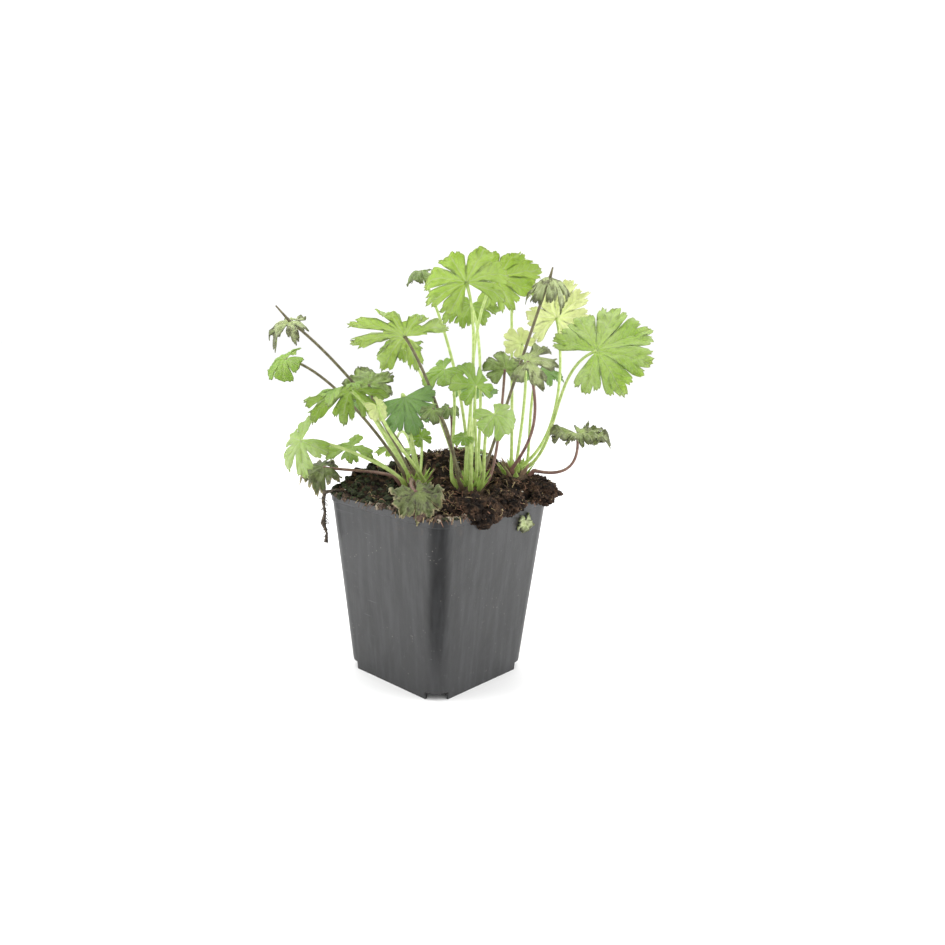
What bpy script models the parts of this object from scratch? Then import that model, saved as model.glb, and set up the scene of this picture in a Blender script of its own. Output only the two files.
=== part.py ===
"""A hardy geranium in a square nursery pot.

The pot is a thin tapered shell of rounded square section, filled with lumpy
peat. Three crowns stand in the peat, and every leaf is one piece: a petiole
that stands in a socket of its crown, with a lobed blade at its tip.

The plant is described as it is seen from the front corner of the pot: right,
away from the viewer and up, in millimetres. picture() turns that to the pot's
own axes. Lengths are metres once they leave picture().
"""
import math

import bmesh
import bpy
from mathutils import Matrix, Vector, noise
from mathutils.geometry import delaunay_2d_cdt

MM = 0.001
VIEW_TURN = math.radians(42.195)      # from the pot's +X to the viewer's right
GAP = 0.3 * MM                        # between pieces that stand in each other

# The pot
POT_TOP = 90 * MM                     # side of the square at the rim
POT_BASE = 72 * MM                    # side of the square on the ground
POT_HEIGHT = 100 * MM
POT_WALL = 1.2 * MM
TOP_CORNER = 10 * MM                  # radius of the upright corners
BASE_CORNER = 9 * MM
CORNER_STEPS = 4
LIP_HEIGHT = 4 * MM
LIP_OUT = 0.5 * MM
FLOOR_RISE = 4.6 * MM                 # the floor stands off the ground round its dish
FLOOR_THICK = 1.4 * MM
DISH_RADIUS = 20 * MM
NOTCH_HEIGHT = 4.2 * MM
DRAIN_RADIUS = 4 * MM
DRAIN_AWAY = 26.5 * MM                # from the middle of the floor to each drain
DRAIN_SIDES = 12

# The peat, in mm as it is seen from the front: its height at the pot's edge, its
# swells as (height, right, away, reach right, reach away), and the clods over the
# rim as (middle, half sizes)
PEAT_EDGE = 98.8
SWELLS = ((21, 8, 26, 44, 30), (7, 46, 2, 18, 18), (7, -44, 8, 14, 20))
PEAT_ROUGH = 1.2
CLODS = (((53, 1, 103), (11, 14, 7)), ((20, -40, 100.5), (13, 8, 7.5)),
         ((36, -24, 102), (9, 9, 6)))

# The crowns, as (right, away, up) of the ground that they stand in
CROWNS = {
    "left": (-14, 0, 103.5),
    "centre": (17, -5, 104.0),
    "right": (42, 7, 108.5),
}
INNER_SEATS = 6
OUTER_SEATS = 10
INNER_RING = 3.0 * MM
OUTER_RING = 6.0 * MM
FAN_DEPTH = 8 * MM                    # the sockets all point away from here
CROWN_PROFILE = ((4, -5), (7.8, -2), (8.3, 0.5), (7.2, 2.6), (3.8, 4.2))
HOLE_PROFILE = ((4, -5), (7.8, -2), (8.3, 0.5), (11.5, 2.6), (15, 9))
SOCKET_RADIUS = 1.4 * MM
SOCKET_REACH = 16 * MM
SOCKET_SIDES = 6
CROWN_SIDES = 12
HOLLOW = 15                           # mm round a crown in which the peat lies level with it

# The petioles
PETIOLE_BASE = 0.95 * MM
PETIOLE_TIP = 0.75 * MM
PETIOLE_SIDES = 5
STRAIGHT = 6.5 * MM                   # length of petiole that stands in its socket
LEAVE = 0.12                          # handles of a petiole's curve, as shares of its span
ARRIVE = 0.28

# The blades
THICKNESS = 0.7 * MM
OUTER_LOBES = 0.28                    # the lobes beside the petiole are this much shorter
NOTCHED_FROM = 17                     # radius in mm from which a lobe has three teeth
SLIT = 0.36                           # how near the middle the cuts between lobes come
NOTCHED_LOBE = ((-0.93, 0.80), (-0.62, 0.94), (-0.40, 0.84), (-0.20, 1.0),
                (0.20, 1.0), (0.40, 0.84), (0.62, 0.94), (0.93, 0.80))
PLAIN_LOBE = ((-0.90, 0.78), (-0.44, 0.97), (0.0, 0.90), (0.44, 0.97), (0.90, 0.78))

# The dry scrap on the right face of the pot, in mm
SCRAP_ALONG = 20                      # from the middle of the face
SCRAP_OUT = 1.2

COLOURS = {
    "fresh": (0.30, 0.48, 0.10),
    "deep": (0.11, 0.24, 0.07),
    "dark": (0.06, 0.09, 0.04),
    "pale": (0.60, 0.72, 0.28),
    "dry": (0.20, 0.19, 0.11),
}


def leaf(crown, seat, hub, radius, tip, face, tone, lobes=7, cone=0.0, droop=0.4,
         wave=0.06, folds=3, fold=0.1, arrive=0.8, bow=None, spike=0, spread=304,
         narrow=1.0):
    """One leaf: where it stands, where its blade is and which way that looks.

    radius is in millimetres. tip points along the middle lobe and face out of
    the upper side. cone lifts the blade to a funnel, droop curls it down, wave
    and folds ripple its edge, and fold creases each lobe along its rib. arrive
    says how steeply the petiole meets the blade, and bow gives the two handles
    of its curve where it is not a plain one. The lobes fan over spread degrees,
    and narrow is their width as a share of what each has room for.
    """
    return dict(crown=crown, seat=seat, hub=hub, radius=radius, tip=tip, face=face,
                tone=tone, lobes=lobes, cone=cone, droop=droop, wave=wave, folds=folds,
                fold=fold, arrive=arrive, bow=bow, spike=spike,
                spread=math.radians(spread), narrow=narrow)


LEAVES = {
    # The left crown
    "leaf_far_left": leaf("left", 0, (-78, -14, 192), 17, (-0.8, -0.3, 0.1), (-0.1, -0.3, 1),
                          "dark", 7, 0.1, 1.3, 0.18, 5, spike=11, narrow=0.8),
    "leaf_left_drooping": leaf("left", 4, (-85, 8, 171), 16, (-0.9, -0.2, -0.2),
                               (-0.4, -0.5, 0.7), "fresh", 5, 0.2, 1.3, 0.12, 4),
    "leaf_left_back": leaf("left", 3, (-42, 24, 157), 18, (-0.2, 0.5, 0.6),
                           (0.1, -0.7, 0.7), "dark", 5, 0.1, 0.8, 0.16, 5),
    "leaf_left_folded": leaf("left", 6, (-18, -24, 156), 22, (0.4, -0.1, -1),
                             (0.2, -0.9, 0.2), "deep", 5, -0.15, 0.35, 0.06, 3, 0.08, 0.6,
                             spread=196),
    "leaf_left_curl": leaf("left", 15, (-31, -32, 152), 9, (0.6, -0.2, -0.5),
                           (0.5, -0.5, 0.6), "pale", 5, 0.1, 1.0, 0.1, 3,
                           bow=((-12, -26, 122), (-26, -40, 140))),
    "leaf_left_large": leaf("left", 5, (-46, -20, 158), 28, (-0.75, 0.35, -0.1),
                            (-0.2, 0.45, 0.9), "fresh", 7, 0.1, 1.0, 0.08, 4, narrow=0.85),
    "leaf_left_low": leaf("left", 11, (-49, 8, 124), 17, (-0.8, -0.5, 0.1),
                          (0, -0.3, 1), "fresh", 5, 0.1, 0.7, 0.14, 4, narrow=0.8),
    "leaf_left_small": leaf("left", 2, (-12, 24, 127), 8, (-0.4, 0.3, 0.7),
                            (0.3, -0.8, 0.5), "fresh", 5, 0.1, 0.5),
    "leaf_left_pale": leaf("left", 13, (-73, -14, 130), 21, (-0.85, -0.3, -0.35),
                           (-0.45, -0.7, 0.5), "fresh", 5, 0.0, 0.9, 0.10, 3, narrow=0.9),
    "leaf_left_rim": leaf("left", 12, (-65, 6, 112), 17, (-0.9, -0.3, 0.1),
                          (0.0, -0.4, 0.9), "dark", 5, 0.0, 1.0, 0.12, 3, 0.1, 0.3),
    "leaf_withered": leaf("left", 14, (-10, -44, 111), 18, (0.5, -0.8, -0.05),
                          (0.1, -0.5, 0.9), "dry", 5, 0.0, 0.6, 0.09, 4, 0.1, 0.3),
    "leaf_back_left": leaf("left", 10, (-50, 50, 145), 18, (-0.5, 0.8, -0.1),
                           (-0.2, 0.3, 0.9), "deep", 7, 0.1, 0.8),
    "leaf_back_low": leaf("left", 9, (-30, 62, 114), 15, (-0.2, 0.9, -0.2),
                          (0, 0.3, 0.9), "fresh", 5, 0.1, 0.8,
                          bow=((-18, 20, 136), (-28, 50, 132))),
    # The centre crown
    "leaf_top_front": leaf("centre", 5, (12, -12, 214), 28, (-0.4, -0.5, 0.75),
                           (-0.1, 0.78, 0.62), "fresh", 7, 0.1, 0.9, 0.06, 4, narrow=0.93),
    "leaf_top_right": leaf("centre", 0, (28, 18, 217), 26, (0.6, 0.3, 0.6),
                           (-0.1, 0.75, 0.65), "fresh", 7, 0.1, 0.6, 0.08, 4),
    "leaf_top_small": leaf("centre", 3, (-14, 30, 220), 11, (-0.8, -0.2, 0.2),
                           (-0.2, -0.3, 0.9), "dark", 5, 0.1, 1.3, 0.14, 4,
                           bow=((17, 14, 130), (4, 36, 185))),
    "leaf_star": leaf("centre", 4, (-19, -14, 186), 32, (-0.75, -0.6, -0.15),
                      (0.05, 0.65, 0.75), "fresh", 7, 0.25, 0.9, 0.10, 4, narrow=0.62),
    "leaf_centre_left": leaf("centre", 12, (1, 3, 168), 15, (-0.6, -0.6, 0.3),
                             (-0.2, -0.5, 0.85), "fresh", 5, 0.1, 0.8, 0.12, 4),
    "leaf_centre_dark": leaf("centre", 13, (-3, -32, 151), 8, (-0.6, -0.6, 0.1),
                             (-0.1, -0.6, 0.8), "dark", 5, 0.1, 1.0, 0.16, 4),
    "leaf_centre": leaf("centre", 6, (18, -26, 163), 15, (-0.2, -0.1, 0.95),
                        (0.45, -0.8, 0.4), "fresh", 5, 0.1, 0.9, 0.16, 5, narrow=0.85),
    "leaf_centre_crinkled": leaf("centre", 7, (34, 17, 168), 14, (0.0, -0.4, 0.9),
                                 (0.1, -0.9, 0.4), "dark", 5, 0.1, 0.9, 0.18, 5),
    "leaf_centre_brown": leaf("centre", 11, (4, 11, 146), 8, (-0.3, -0.8, 0.1),
                              (0, -0.4, 0.9), "dark", 5, 0.1, 1.0, 0.16, 4),
    "leaf_centre_bright": leaf("centre", 15, (28, -38, 150), 14, (0.5, -0.7, -0.3),
                               (0.2, -0.65, 0.75), "fresh", 5, 0.1, 0.9, 0.16, 4),
    "leaf_centre_low": leaf("centre", 14, (13, -29, 137), 7, (-0.5, -0.6, 0.2),
                            (0, -0.5, 0.8), "fresh", 5, 0.1, 0.8),
    "leaf_umbrella": leaf("centre", 1, (55, -8, 218), 19, (0.1, -0.9, -0.2),
                          (0.05, -0.3, 1), "dark", 7, -0.3, 1.2, 0.14, 5, spike=7,
                          narrow=0.85),
    "leaf_back_top": leaf("centre", 2, (14, 58, 202), 22, (-0.3, 0.9, 0.1),
                          (-0.1, 0.4, 0.9), "fresh", 7, 0.1, 0.8),
    "leaf_back_star": leaf("centre", 10, (-26, 48, 178), 17, (-0.6, 0.7, 0.1),
                           (-0.2, 0.4, 0.9), "fresh", 7, 0.1, 0.8),
    "leaf_back_centre": leaf("centre", 9, (18, 52, 154), 16, (0, 0.9, 0.1),
                             (0, 0.3, 0.9), "deep", 5, 0.1, 0.8),
    "leaf_back_rim": leaf("centre", 8, (16, 66, 114), 14, (0.1, 0.9, -0.3),
                          (0, 0.4, 0.9), "deep", 5, 0.1, 0.8,
                          bow=((20, 24, 128), (17, 54, 130))),
    # The right crown
    "leaf_right_large": leaf("right", 1, (81, -8, 181), 32, (0.75, -0.2, 0.6),
                             (-0.2, -0.8, 0.55), "fresh", 7, 0.1, 0.5, 0.07, 4,
                             bow=((66, 2, 128), (58, 0, 172))),
    "leaf_pale_back": leaf("right", 2, (64, 45, 196), 25, (0.2, -0.3, 0.9),
                           (-0.5, 0.75, 0.3), "pale", 7, 0.1, 0.5,
                           bow=((66, 14, 128), (70, 40, 168))),
    "leaf_pale_small": leaf("right", 0, (44, 40, 181), 12, (-0.5, -0.3, 0.8),
                            (0.2, -0.8, 0.5), "pale", 5, 0.1, 0.5),
    "leaf_right_folded": leaf("right", 5, (45, -12, 175), 18, (0.7, -0.5, 0.5),
                              (-0.3, -0.6, 0.8), "dark", 5, 0.1, 1.1, 0.14, 4, narrow=0.8,
                              bow=((50, -1, 132), (54, -12, 146))),
    "leaf_right_crinkled": leaf("right", 16, (73, -8, 137), 19, (0.5, -0.8, 0.1),
                                (0.0, -0.15, 1), "dark", 7, 0.2, 0.5, 0.14, 7, 0.1, 1.3,
                                bow=((60, 1, 113), (77, -7, 112))),
    "leaf_back_high": leaf("right", 3, (38, 62, 220), 18, (0.4, 0.8, 0.2),
                           (0.1, 0.4, 0.9), "fresh", 7, 0.1, 0.8,
                           bow=((40, 26, 140), (38, 52, 190))),
    "leaf_back_right": leaf("right", 8, (56, 50, 165), 17, (0.5, 0.8, 0),
                            (0.1, 0.3, 0.9), "deep", 5, 0.1, 0.8),
}


def picture(right, away, up):
    """A point given as it is seen from the front, in the pot's own axes."""
    turn, side = math.cos(VIEW_TURN), math.sin(VIEW_TURN)
    return Vector((right * turn - away * side, right * side + away * turn, up)) * MM


def heading(right, away, up):
    """The same for a direction, as a unit vector."""
    return picture(right, away, up).normalized()


def material(name, colour, roughness):
    found = bpy.data.materials.get(name) or bpy.data.materials.new(name)
    found.use_nodes = True
    shader = found.node_tree.nodes["Principled BSDF"]
    shader.inputs["Base Color"].default_value = (*colour, 1)
    shader.inputs["Roughness"].default_value = roughness
    return found


def solid(name, points, faces, finish=None):
    """An object from points and faces, closed and facing out."""
    shape = bmesh.new()
    corners = [shape.verts.new(point) for point in points]
    for face in faces:
        shape.faces.new([corners[index] for index in face])
    bmesh.ops.recalc_face_normals(shape, faces=shape.faces)
    mesh = bpy.data.meshes.new(name)
    shape.to_mesh(mesh)
    shape.free()
    made = bpy.data.objects.new(name, mesh)
    bpy.context.scene.collection.objects.link(made)
    if finish:
        mesh.materials.append(finish)
    return made


def combine(target, others, operation):
    """Join others to target, or cut them out of it, and remove them."""
    group = bpy.data.collections.new("others")
    bpy.context.scene.collection.children.link(group)
    for other in others:
        group.objects.link(other)
    step = target.modifiers.new("combine", "BOOLEAN")
    step.operation = operation
    step.operand_type = "COLLECTION"
    step.collection = group
    step.solver = "EXACT"
    view = bpy.context.evaluated_depsgraph_get()
    result = bpy.data.meshes.new_from_object(target.evaluated_get(view))
    target.modifiers.clear()
    target.data = result
    for other in others:
        bpy.data.objects.remove(other)
    bpy.data.collections.remove(group)
    return target


def loft(name, rings, finish=None):
    """A closed body through rings of as many points each, capped at both ends."""
    count = len(rings[0])
    points = [point for ring in rings for point in ring]
    faces = [tuple(reversed(range(count))), tuple(range(len(points) - count, len(points)))]
    for level in range(len(rings) - 1):
        for index in range(count):
            after = (index + 1) % count
            faces.append((level * count + index, level * count + after,
                          (level + 1) * count + after, (level + 1) * count + index))
    return solid(name, points, faces, finish)


def rounded_square(half, corner, height):
    """One ring of the pot: a square with round corners."""
    ring = []
    for quarter in range(4):
        for step in range(CORNER_STEPS + 1):
            angle = math.radians(90) * (quarter + step / CORNER_STEPS)
            middle = math.radians(90) * (quarter + 0.5)
            reach = (half - corner) * math.sqrt(2)
            ring.append(Vector((reach * math.cos(middle) + corner * math.cos(angle),
                                reach * math.sin(middle) + corner * math.sin(angle), height)))
    return ring


def pot_ring(height, offset):
    """The pot's outline at a height, moved out by an offset."""
    part = height / POT_HEIGHT
    half = (POT_BASE + (POT_TOP - POT_BASE) * part) / 2 - LIP_OUT + offset
    corner = BASE_CORNER + (TOP_CORNER - BASE_CORNER) * part + offset
    return rounded_square(half, corner, height)


def drum(name, radius, low, high, place=(0, 0), sides=32):
    ring = [Vector((place[0] + radius * math.cos(2 * math.pi * index / sides),
                    place[1] + radius * math.sin(2 * math.pi * index / sides), 0))
            for index in range(sides)]
    return loft(name, [[point + Vector((0, 0, level)) for point in ring]
                       for level in (low, high)])


def pot_body(name, grow, finish=None):
    """The pot's shell, with both of its sides moved out by grow."""
    lip_low = POT_HEIGHT - LIP_HEIGHT - grow
    top = POT_HEIGHT + grow
    inside = -POT_WALL - grow
    shell = loft(name, [pot_ring(-grow, grow), pot_ring(lip_low, grow),
                        pot_ring(lip_low + LIP_OUT, LIP_OUT + grow),
                        pot_ring(top, LIP_OUT + grow)], finish)
    floor_top = FLOOR_RISE + FLOOR_THICK + grow
    hollow = loft("hollow", [pot_ring(floor_top, inside), pot_ring(top + MM, inside)])
    dish = drum("dish", DISH_RADIUS - POT_WALL - grow, FLOOR_THICK + grow, floor_top + MM)
    return combine(shell, [hollow, dish], "DIFFERENCE")


def make_pot():
    pot = pot_body("pot", 0, material("nursery plastic", (0.11, 0.112, 0.118), 0.42))
    recess = loft("recess", [pot_ring(-MM, -POT_WALL), pot_ring(FLOOR_RISE, -POT_WALL)])
    combine(recess, [drum("foot", DISH_RADIUS, -2 * MM, FLOOR_RISE + MM)], "DIFFERENCE")
    cutters = [recess]
    middle = (POT_BASE / 2 - BASE_CORNER) + BASE_CORNER / 2
    for right in (-1, 1):
        for away in (-1, 1):
            cutters.append(loft("notch", [
                rounded_square(BASE_CORNER / 2 + MM, MM, level)
                for level in (-MM, NOTCH_HEIGHT)]))
            cutters[-1].data.transform(
                Matrix.Translation((right * (middle + MM), away * (middle + MM), 0)))
    for turn in range(4):
        angle = math.radians(90) * turn
        place = (DRAIN_AWAY * math.cos(angle), DRAIN_AWAY * math.sin(angle))
        high = FLOOR_RISE + FLOOR_THICK + MM
        cutters.append(drum("drain", DRAIN_RADIUS, -MM, high, place, DRAIN_SIDES))
    return combine(pot, cutters, "DIFFERENCE")


def ground(right, away):
    """Height of the peat, in millimetres: its swells, level with the crowns round them."""
    height = PEAT_EDGE
    for top, middle, depth, reach_right, reach_away in SWELLS:
        height += top * math.exp(-((right - middle) / reach_right) ** 2
                                 - ((away - depth) / reach_away) ** 2)
    for crown_right, crown_away, crown_up in CROWNS.values():
        distance = math.hypot(right - crown_right, away - crown_away)
        near = math.exp(-(distance / HOLLOW) ** 4)
        height = height * (1 - near) + (crown_up - 0.6) * near
    return height + PEAT_ROUGH * noise.noise(Vector((right / 5, away / 5, 4.2)))


def seen(point):
    """The reverse of picture(): right and away of a point, in millimetres."""
    turn, side = math.cos(VIEW_TURN), math.sin(VIEW_TURN)
    return ((point.x * turn + point.y * side) / MM, (point.y * turn - point.x * side) / MM)


def lump(name, middle, sizes, seed):
    """A clod of peat that hangs over the rim."""
    shape = bmesh.new()
    bmesh.ops.create_icosphere(shape, subdivisions=2, radius=1)
    for corner in shape.verts:
        rough = 1 + 0.22 * noise.noise(corner.co * 2.1 + Vector((seed, 0, 0)))
        point = [middle[axis] + corner.co[axis] * sizes[axis] * rough for axis in range(3)]
        corner.co = picture(*point)
    mesh = bpy.data.meshes.new(name)
    bmesh.ops.recalc_face_normals(shape, faces=shape.faces)
    shape.to_mesh(mesh)
    shape.free()
    made = bpy.data.objects.new(name, mesh)
    bpy.context.scene.collection.objects.link(made)
    return made


def make_soil():
    """Peat that fills the pot, swells over it and hangs over the rim in clods."""
    side = -POT_WALL - GAP
    low = FLOOR_RISE + FLOOR_THICK + GAP
    levels = [pot_ring(low, side), pot_ring(60 * MM, side), pot_ring(96 * MM, side)]
    edge = pot_ring(98 * MM, side - 0.3 * MM)
    for share in (1.0, 0.86, 0.70, 0.54, 0.38, 0.20):
        ring = []
        for point in edge:
            place = Vector((point.x * share, point.y * share, 0))
            place.z = ground(*seen(place)) * MM
            ring.append(place)
        levels.append(ring)
    soil = loft("soil", levels, material("peat", (0.035, 0.024, 0.018), 0.95))
    soil_foot = drum("foot", DISH_RADIUS - POT_WALL - GAP, FLOOR_THICK + GAP, low + 2 * MM)
    clods = [lump("clod", middle, sizes, 1.5 + 3 * number)
             for number, (middle, sizes) in enumerate(CLODS)]
    combine(soil, [soil_foot] + clods, "UNION")
    cutters = [pot_body("wall", GAP), root_body("root", GAP)]
    cutters += [crown_body(name, HOLE_PROFILE, GAP) for name in CROWNS]
    combine(soil, cutters, "DIFFERENCE")
    return keep_largest(soil)


def keep_largest(made):
    """Drop loose scraps that a cut has left."""
    shape = bmesh.new()
    shape.from_mesh(made.data)
    unseen = set(shape.verts)
    groups = []
    while unseen:
        group = {unseen.pop()}
        front = list(group)
        while front:
            corner = front.pop()
            for edge in corner.link_edges:
                other = edge.other_vert(corner)
                if other in unseen:
                    unseen.discard(other)
                    group.add(other)
                    front.append(other)
        groups.append(group)
    groups.sort(key=len)
    for group in groups[:-1]:
        bmesh.ops.delete(shape, geom=list(group), context="VERTS")
    shape.to_mesh(made.data)
    shape.free()
    return made


def seat_of(crown, seat):
    """Foot of a petiole in its crown, and the way that it leaves it."""
    ring, angle = 0, 0
    if 1 <= seat <= INNER_SEATS:
        ring, angle = INNER_RING, math.tau * (seat - 1) / INNER_SEATS
    elif seat > INNER_SEATS:
        ring, angle = OUTER_RING, math.tau * (seat - INNER_SEATS - 0.5) / OUTER_SEATS
    across = picture(math.cos(angle), math.sin(angle), 0) / MM
    outward = (across * ring + Vector((0, 0, FAN_DEPTH))).normalized()
    return picture(*CROWNS[crown]) + across * ring, outward


def crown_body(name, profile, grow=0, finish=None):
    """The short rootstock that the petioles of one crown stand in, or its hole."""
    middle = picture(*CROWNS[name])
    rings = []
    for radius, height in profile:
        ring = []
        for index in range(CROWN_SIDES):
            angle = math.tau * index / CROWN_SIDES
            across = Vector((math.cos(angle), math.sin(angle), 0))
            lift = grow if height > 0 else -grow
            ring.append(middle + across * (radius * MM + grow)
                        + Vector((0, 0, height * MM + lift)))
        rings.append(ring)
    return loft(f"crown_{name}", rings, finish)


def make_crown(name):
    finish = material("crown", (0.33, 0.45, 0.13), 0.6)
    crown = crown_body(name, CROWN_PROFILE, finish=finish)
    sockets = []
    for row in LEAVES.values():
        if row["crown"] == name:
            foot, outward = seat_of(name, row["seat"])
            path = [foot, foot + outward * SOCKET_REACH]
            sockets.append(tube("socket", path, [SOCKET_RADIUS] * 2, SOCKET_SIDES))
    return combine(crown, sockets, "DIFFERENCE")


def tube(name, path, radii, sides, finish=None):
    """A round bar along a path, with a radius at each of its points."""
    way = (path[1] - path[0]).normalized()
    across = way.orthogonal().normalized()
    rings = []
    for index, point in enumerate(path):
        before = path[max(index - 1, 0)]
        after = path[min(index + 1, len(path) - 1)]
        way = (after - before).normalized()
        across = (across - way * across.dot(way)).normalized()
        beside = way.cross(across)
        rings.append([point + (across * math.cos(math.tau * turn / sides)
                               + beside * math.sin(math.tau * turn / sides)) * radii[index]
                      for turn in range(sides)])
    return loft(name, rings, finish)


def bezier(start, first, second, end, steps):
    points = []
    for index in range(1, steps + 1):
        part = index / steps
        rest = 1 - part
        points.append(start * rest ** 3 + first * 3 * rest ** 2 * part
                      + second * 3 * rest * part ** 2 + end * part ** 3)
    return points


def blade_axes(row):
    """Side, tip and face of a blade, as unit vectors square to each other."""
    face = heading(*row["face"])
    tip = heading(*row["tip"])
    tip = (tip - face * tip.dot(face)).normalized()
    return tip.cross(face), tip, face


def petiole_path(row, steps=5):
    """From the socket's floor, straight out of it, then in a curve to the hub."""
    foot, outward = seat_of(row["crown"], row["seat"])
    foot = foot + outward * GAP
    start = foot + outward * STRAIGHT
    hub = picture(*row["hub"])
    side, tip, face = blade_axes(row)
    arrive = (tip * math.cos(row["arrive"]) + face * math.sin(row["arrive"])).normalized()
    span = (hub - start).length
    first = start + outward * span * LEAVE
    second = hub - arrive * span * ARRIVE
    if row["bow"]:
        first, second = picture(*row["bow"][0]), picture(*row["bow"][1])
    top = hub + (hub - second).normalized() * THICKNESS
    return [foot, start] + bezier(start, first, second, hub, steps) + [top]


def lobe_angles(row):
    """Middle angle of each lobe from the tip, its half width and its length."""
    half = row["spread"] / (2 * row["lobes"])
    angles = []
    for index in range(row["lobes"]):
        angle = -row["spread"] / 2 + half * (2 * index + 1)
        length = 1 - OUTER_LOBES * (2 * abs(angle) / row["spread"]) ** 2
        angles.append((angle, half, length))
    return angles


def blade_outline(row):
    """Edge of the flat blade as (angle from the tip, share of the radius)."""
    teeth = NOTCHED_LOBE if row["radius"] >= NOTCHED_FROM else PLAIN_LOBE
    edge = [(math.pi, 0.1)]
    for angle, half, length in lobe_angles(row):
        edge.append((angle - half, SLIT))
        for share, reach in teeth:
            edge.append((angle + share * half * row["narrow"], reach * length))
    edge.append((row["spread"] / 2, SLIT))
    return edge


def bent(row, angle, share):
    """Place of a point of the flat blade once the blade is bent, in its own axes."""
    radius = row["radius"] * MM
    phase = row["hub"][0] + row["hub"][2]
    droop = row["droop"] * (1 + 0.25 * math.sin(2 * angle + phase))
    if abs(droop) < 0.05:
        droop = 0.05
    cone = row["cone"]
    out = radius / droop * (math.sin(cone) - math.sin(cone - droop * share))
    lift = radius / droop * (math.cos(cone - droop * share) - math.cos(cone))
    lift += radius * row["wave"] * share ** 2 * math.sin(row["folds"] * angle + phase)
    half = row["spread"] / (2 * row["lobes"])
    off_rib = abs((angle + row["spread"] / 2) / half % 2 - 1)
    lift += radius * row["fold"] * share * off_rib
    return Vector((out * math.sin(angle), out * math.cos(angle), lift))


def blade(row, finish):
    """The lobed blade as a thin bent sheet, split alike on both of its faces."""
    edge = blade_outline(row)
    inner = [(0.0, 0.0)]
    for angle, half, length in lobe_angles(row):
        inner.append((angle, 0.36))
        if row["radius"] >= NOTCHED_FROM:
            inner.append((angle, 0.70 * length))
    polar = edge + inner
    flat = [Vector((share * math.sin(angle), share * math.cos(angle)))
            for angle, share in polar]
    border = [(index, (index + 1) % len(edge)) for index in range(len(edge))]
    _, _, triangles, source, _, _ = delaunay_2d_cdt(flat, border, [], 1, 1e-6)
    order = [found[0] for found in source]
    triangles = [tuple(order[corner] for corner in triangle) for triangle in triangles]
    side, tip, face = blade_axes(row)
    hub = picture(*row["hub"])
    points = []
    for angle, share in polar:
        place = bent(row, angle, share)
        points.append(hub + side * place.x + tip * place.y + face * place.z)
    normals = [Vector() for _ in points]
    for first, second, third in triangles:
        normal = (points[second] - points[first]).cross(points[third] - points[first])
        for corner in (first, second, third):
            normals[corner] += normal
    lift = [normal.normalized() * THICKNESS / 2 for normal in normals]
    count = len(points)
    faces = [triangle for triangle in triangles]
    faces += [tuple(corner + count for corner in reversed(triangle)) for triangle in triangles]
    for first, second in border:
        faces.append((first, second, second + count))
        faces.append((first, second + count, first + count))
    both = [point + up for point, up in zip(points, lift)]
    both += [point - up for point, up in zip(points, lift)]
    return solid("blade", both, faces, finish)


def make_leaf(name, row):
    finish = material(f"leaf {row['tone']}", COLOURS[row["tone"]], 0.5)
    made = blade(row, finish)
    made.name = name
    path = petiole_path(row)
    last = len(path) - 1
    radii = [PETIOLE_BASE + (PETIOLE_TIP - PETIOLE_BASE) * index / last
             for index in range(last + 1)]
    pieces = [tube("petiole", path, radii, PETIOLE_SIDES)]
    if row["spike"]:
        side, tip, face = blade_axes(row)
        hub = picture(*row["hub"])
        way = (face + tip * 0.6).normalized()
        pieces.append(tube("spike", [hub - way * MM, hub + way * row["spike"] * MM],
                           [0.9 * MM, 0.4 * MM], 4))
    return combine(made, pieces, "UNION")


def root_path():
    """A strand of root that comes out of the peat and hangs over the left corner."""
    return [picture(*point) for point in (
        (-45, -7, 97), (-50, -7, 101.5), (-56, -7, 102.5), (-62, -7, 101), (-63, -7, 96),
        (-62, -6.5, 90), (-63, -7.5, 84), (-61, -7, 78), (-61.5, -7, 73))]


def root_body(name, grow, finish=None):
    path = root_path()
    path[0] += (path[0] - path[1]).normalized() * grow
    radii = [(1.0 + 0.45 * math.sin(2.4 * index)) * MM + grow for index in range(len(path))]
    return tube(name, path, radii, 6, finish)


def make_scrap():
    """A dry scrap of leaf that clings to the right face of the pot."""
    lean = math.atan((POT_TOP - POT_BASE) / 2 / POT_HEIGHT)
    height = 90
    half = (POT_BASE + (POT_TOP - POT_BASE) * height * MM / POT_HEIGHT) / 2 / MM
    right, away = seen(Vector((half, SCRAP_ALONG, 0)) * MM)
    out, aside = seen(Vector((math.cos(lean), 0, 0)) * MM)
    row = leaf(None, 0, (right + SCRAP_OUT * out, away + SCRAP_OUT * aside, height), 7,
               (0, 0, -1), (out, aside, -math.sin(lean)), "dry", 5, 0.0, 0.0, 0.05, 3, 0.1)
    made = blade(row, material("leaf dry", COLOURS["dry"], 0.6))
    made.name = "leaf_scrap"


def main():
    for old in list(bpy.data.objects):
        bpy.data.objects.remove(old)
    make_pot()
    make_soil()
    root_body("root_strand", 0, material("dry root", (0.16, 0.13, 0.09), 0.9))
    for name in CROWNS:
        make_crown(name)
    for name, row in LEAVES.items():
        make_leaf(name, row)
    make_scrap()
    for made in bpy.data.objects:
        made.data.shade_flat()


main()
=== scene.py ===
"""The looks of a hardy geranium in a square nursery pot.

The plant is described as it is seen from the front corner of the pot: right,
away from the viewer and up, in millimetres. picture() turns that to the pot's
own axes. Lengths are metres once they leave picture().
"""
import math
import random
from types import SimpleNamespace

import bmesh
import bpy
from mathutils import Matrix, Vector, noise


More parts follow.
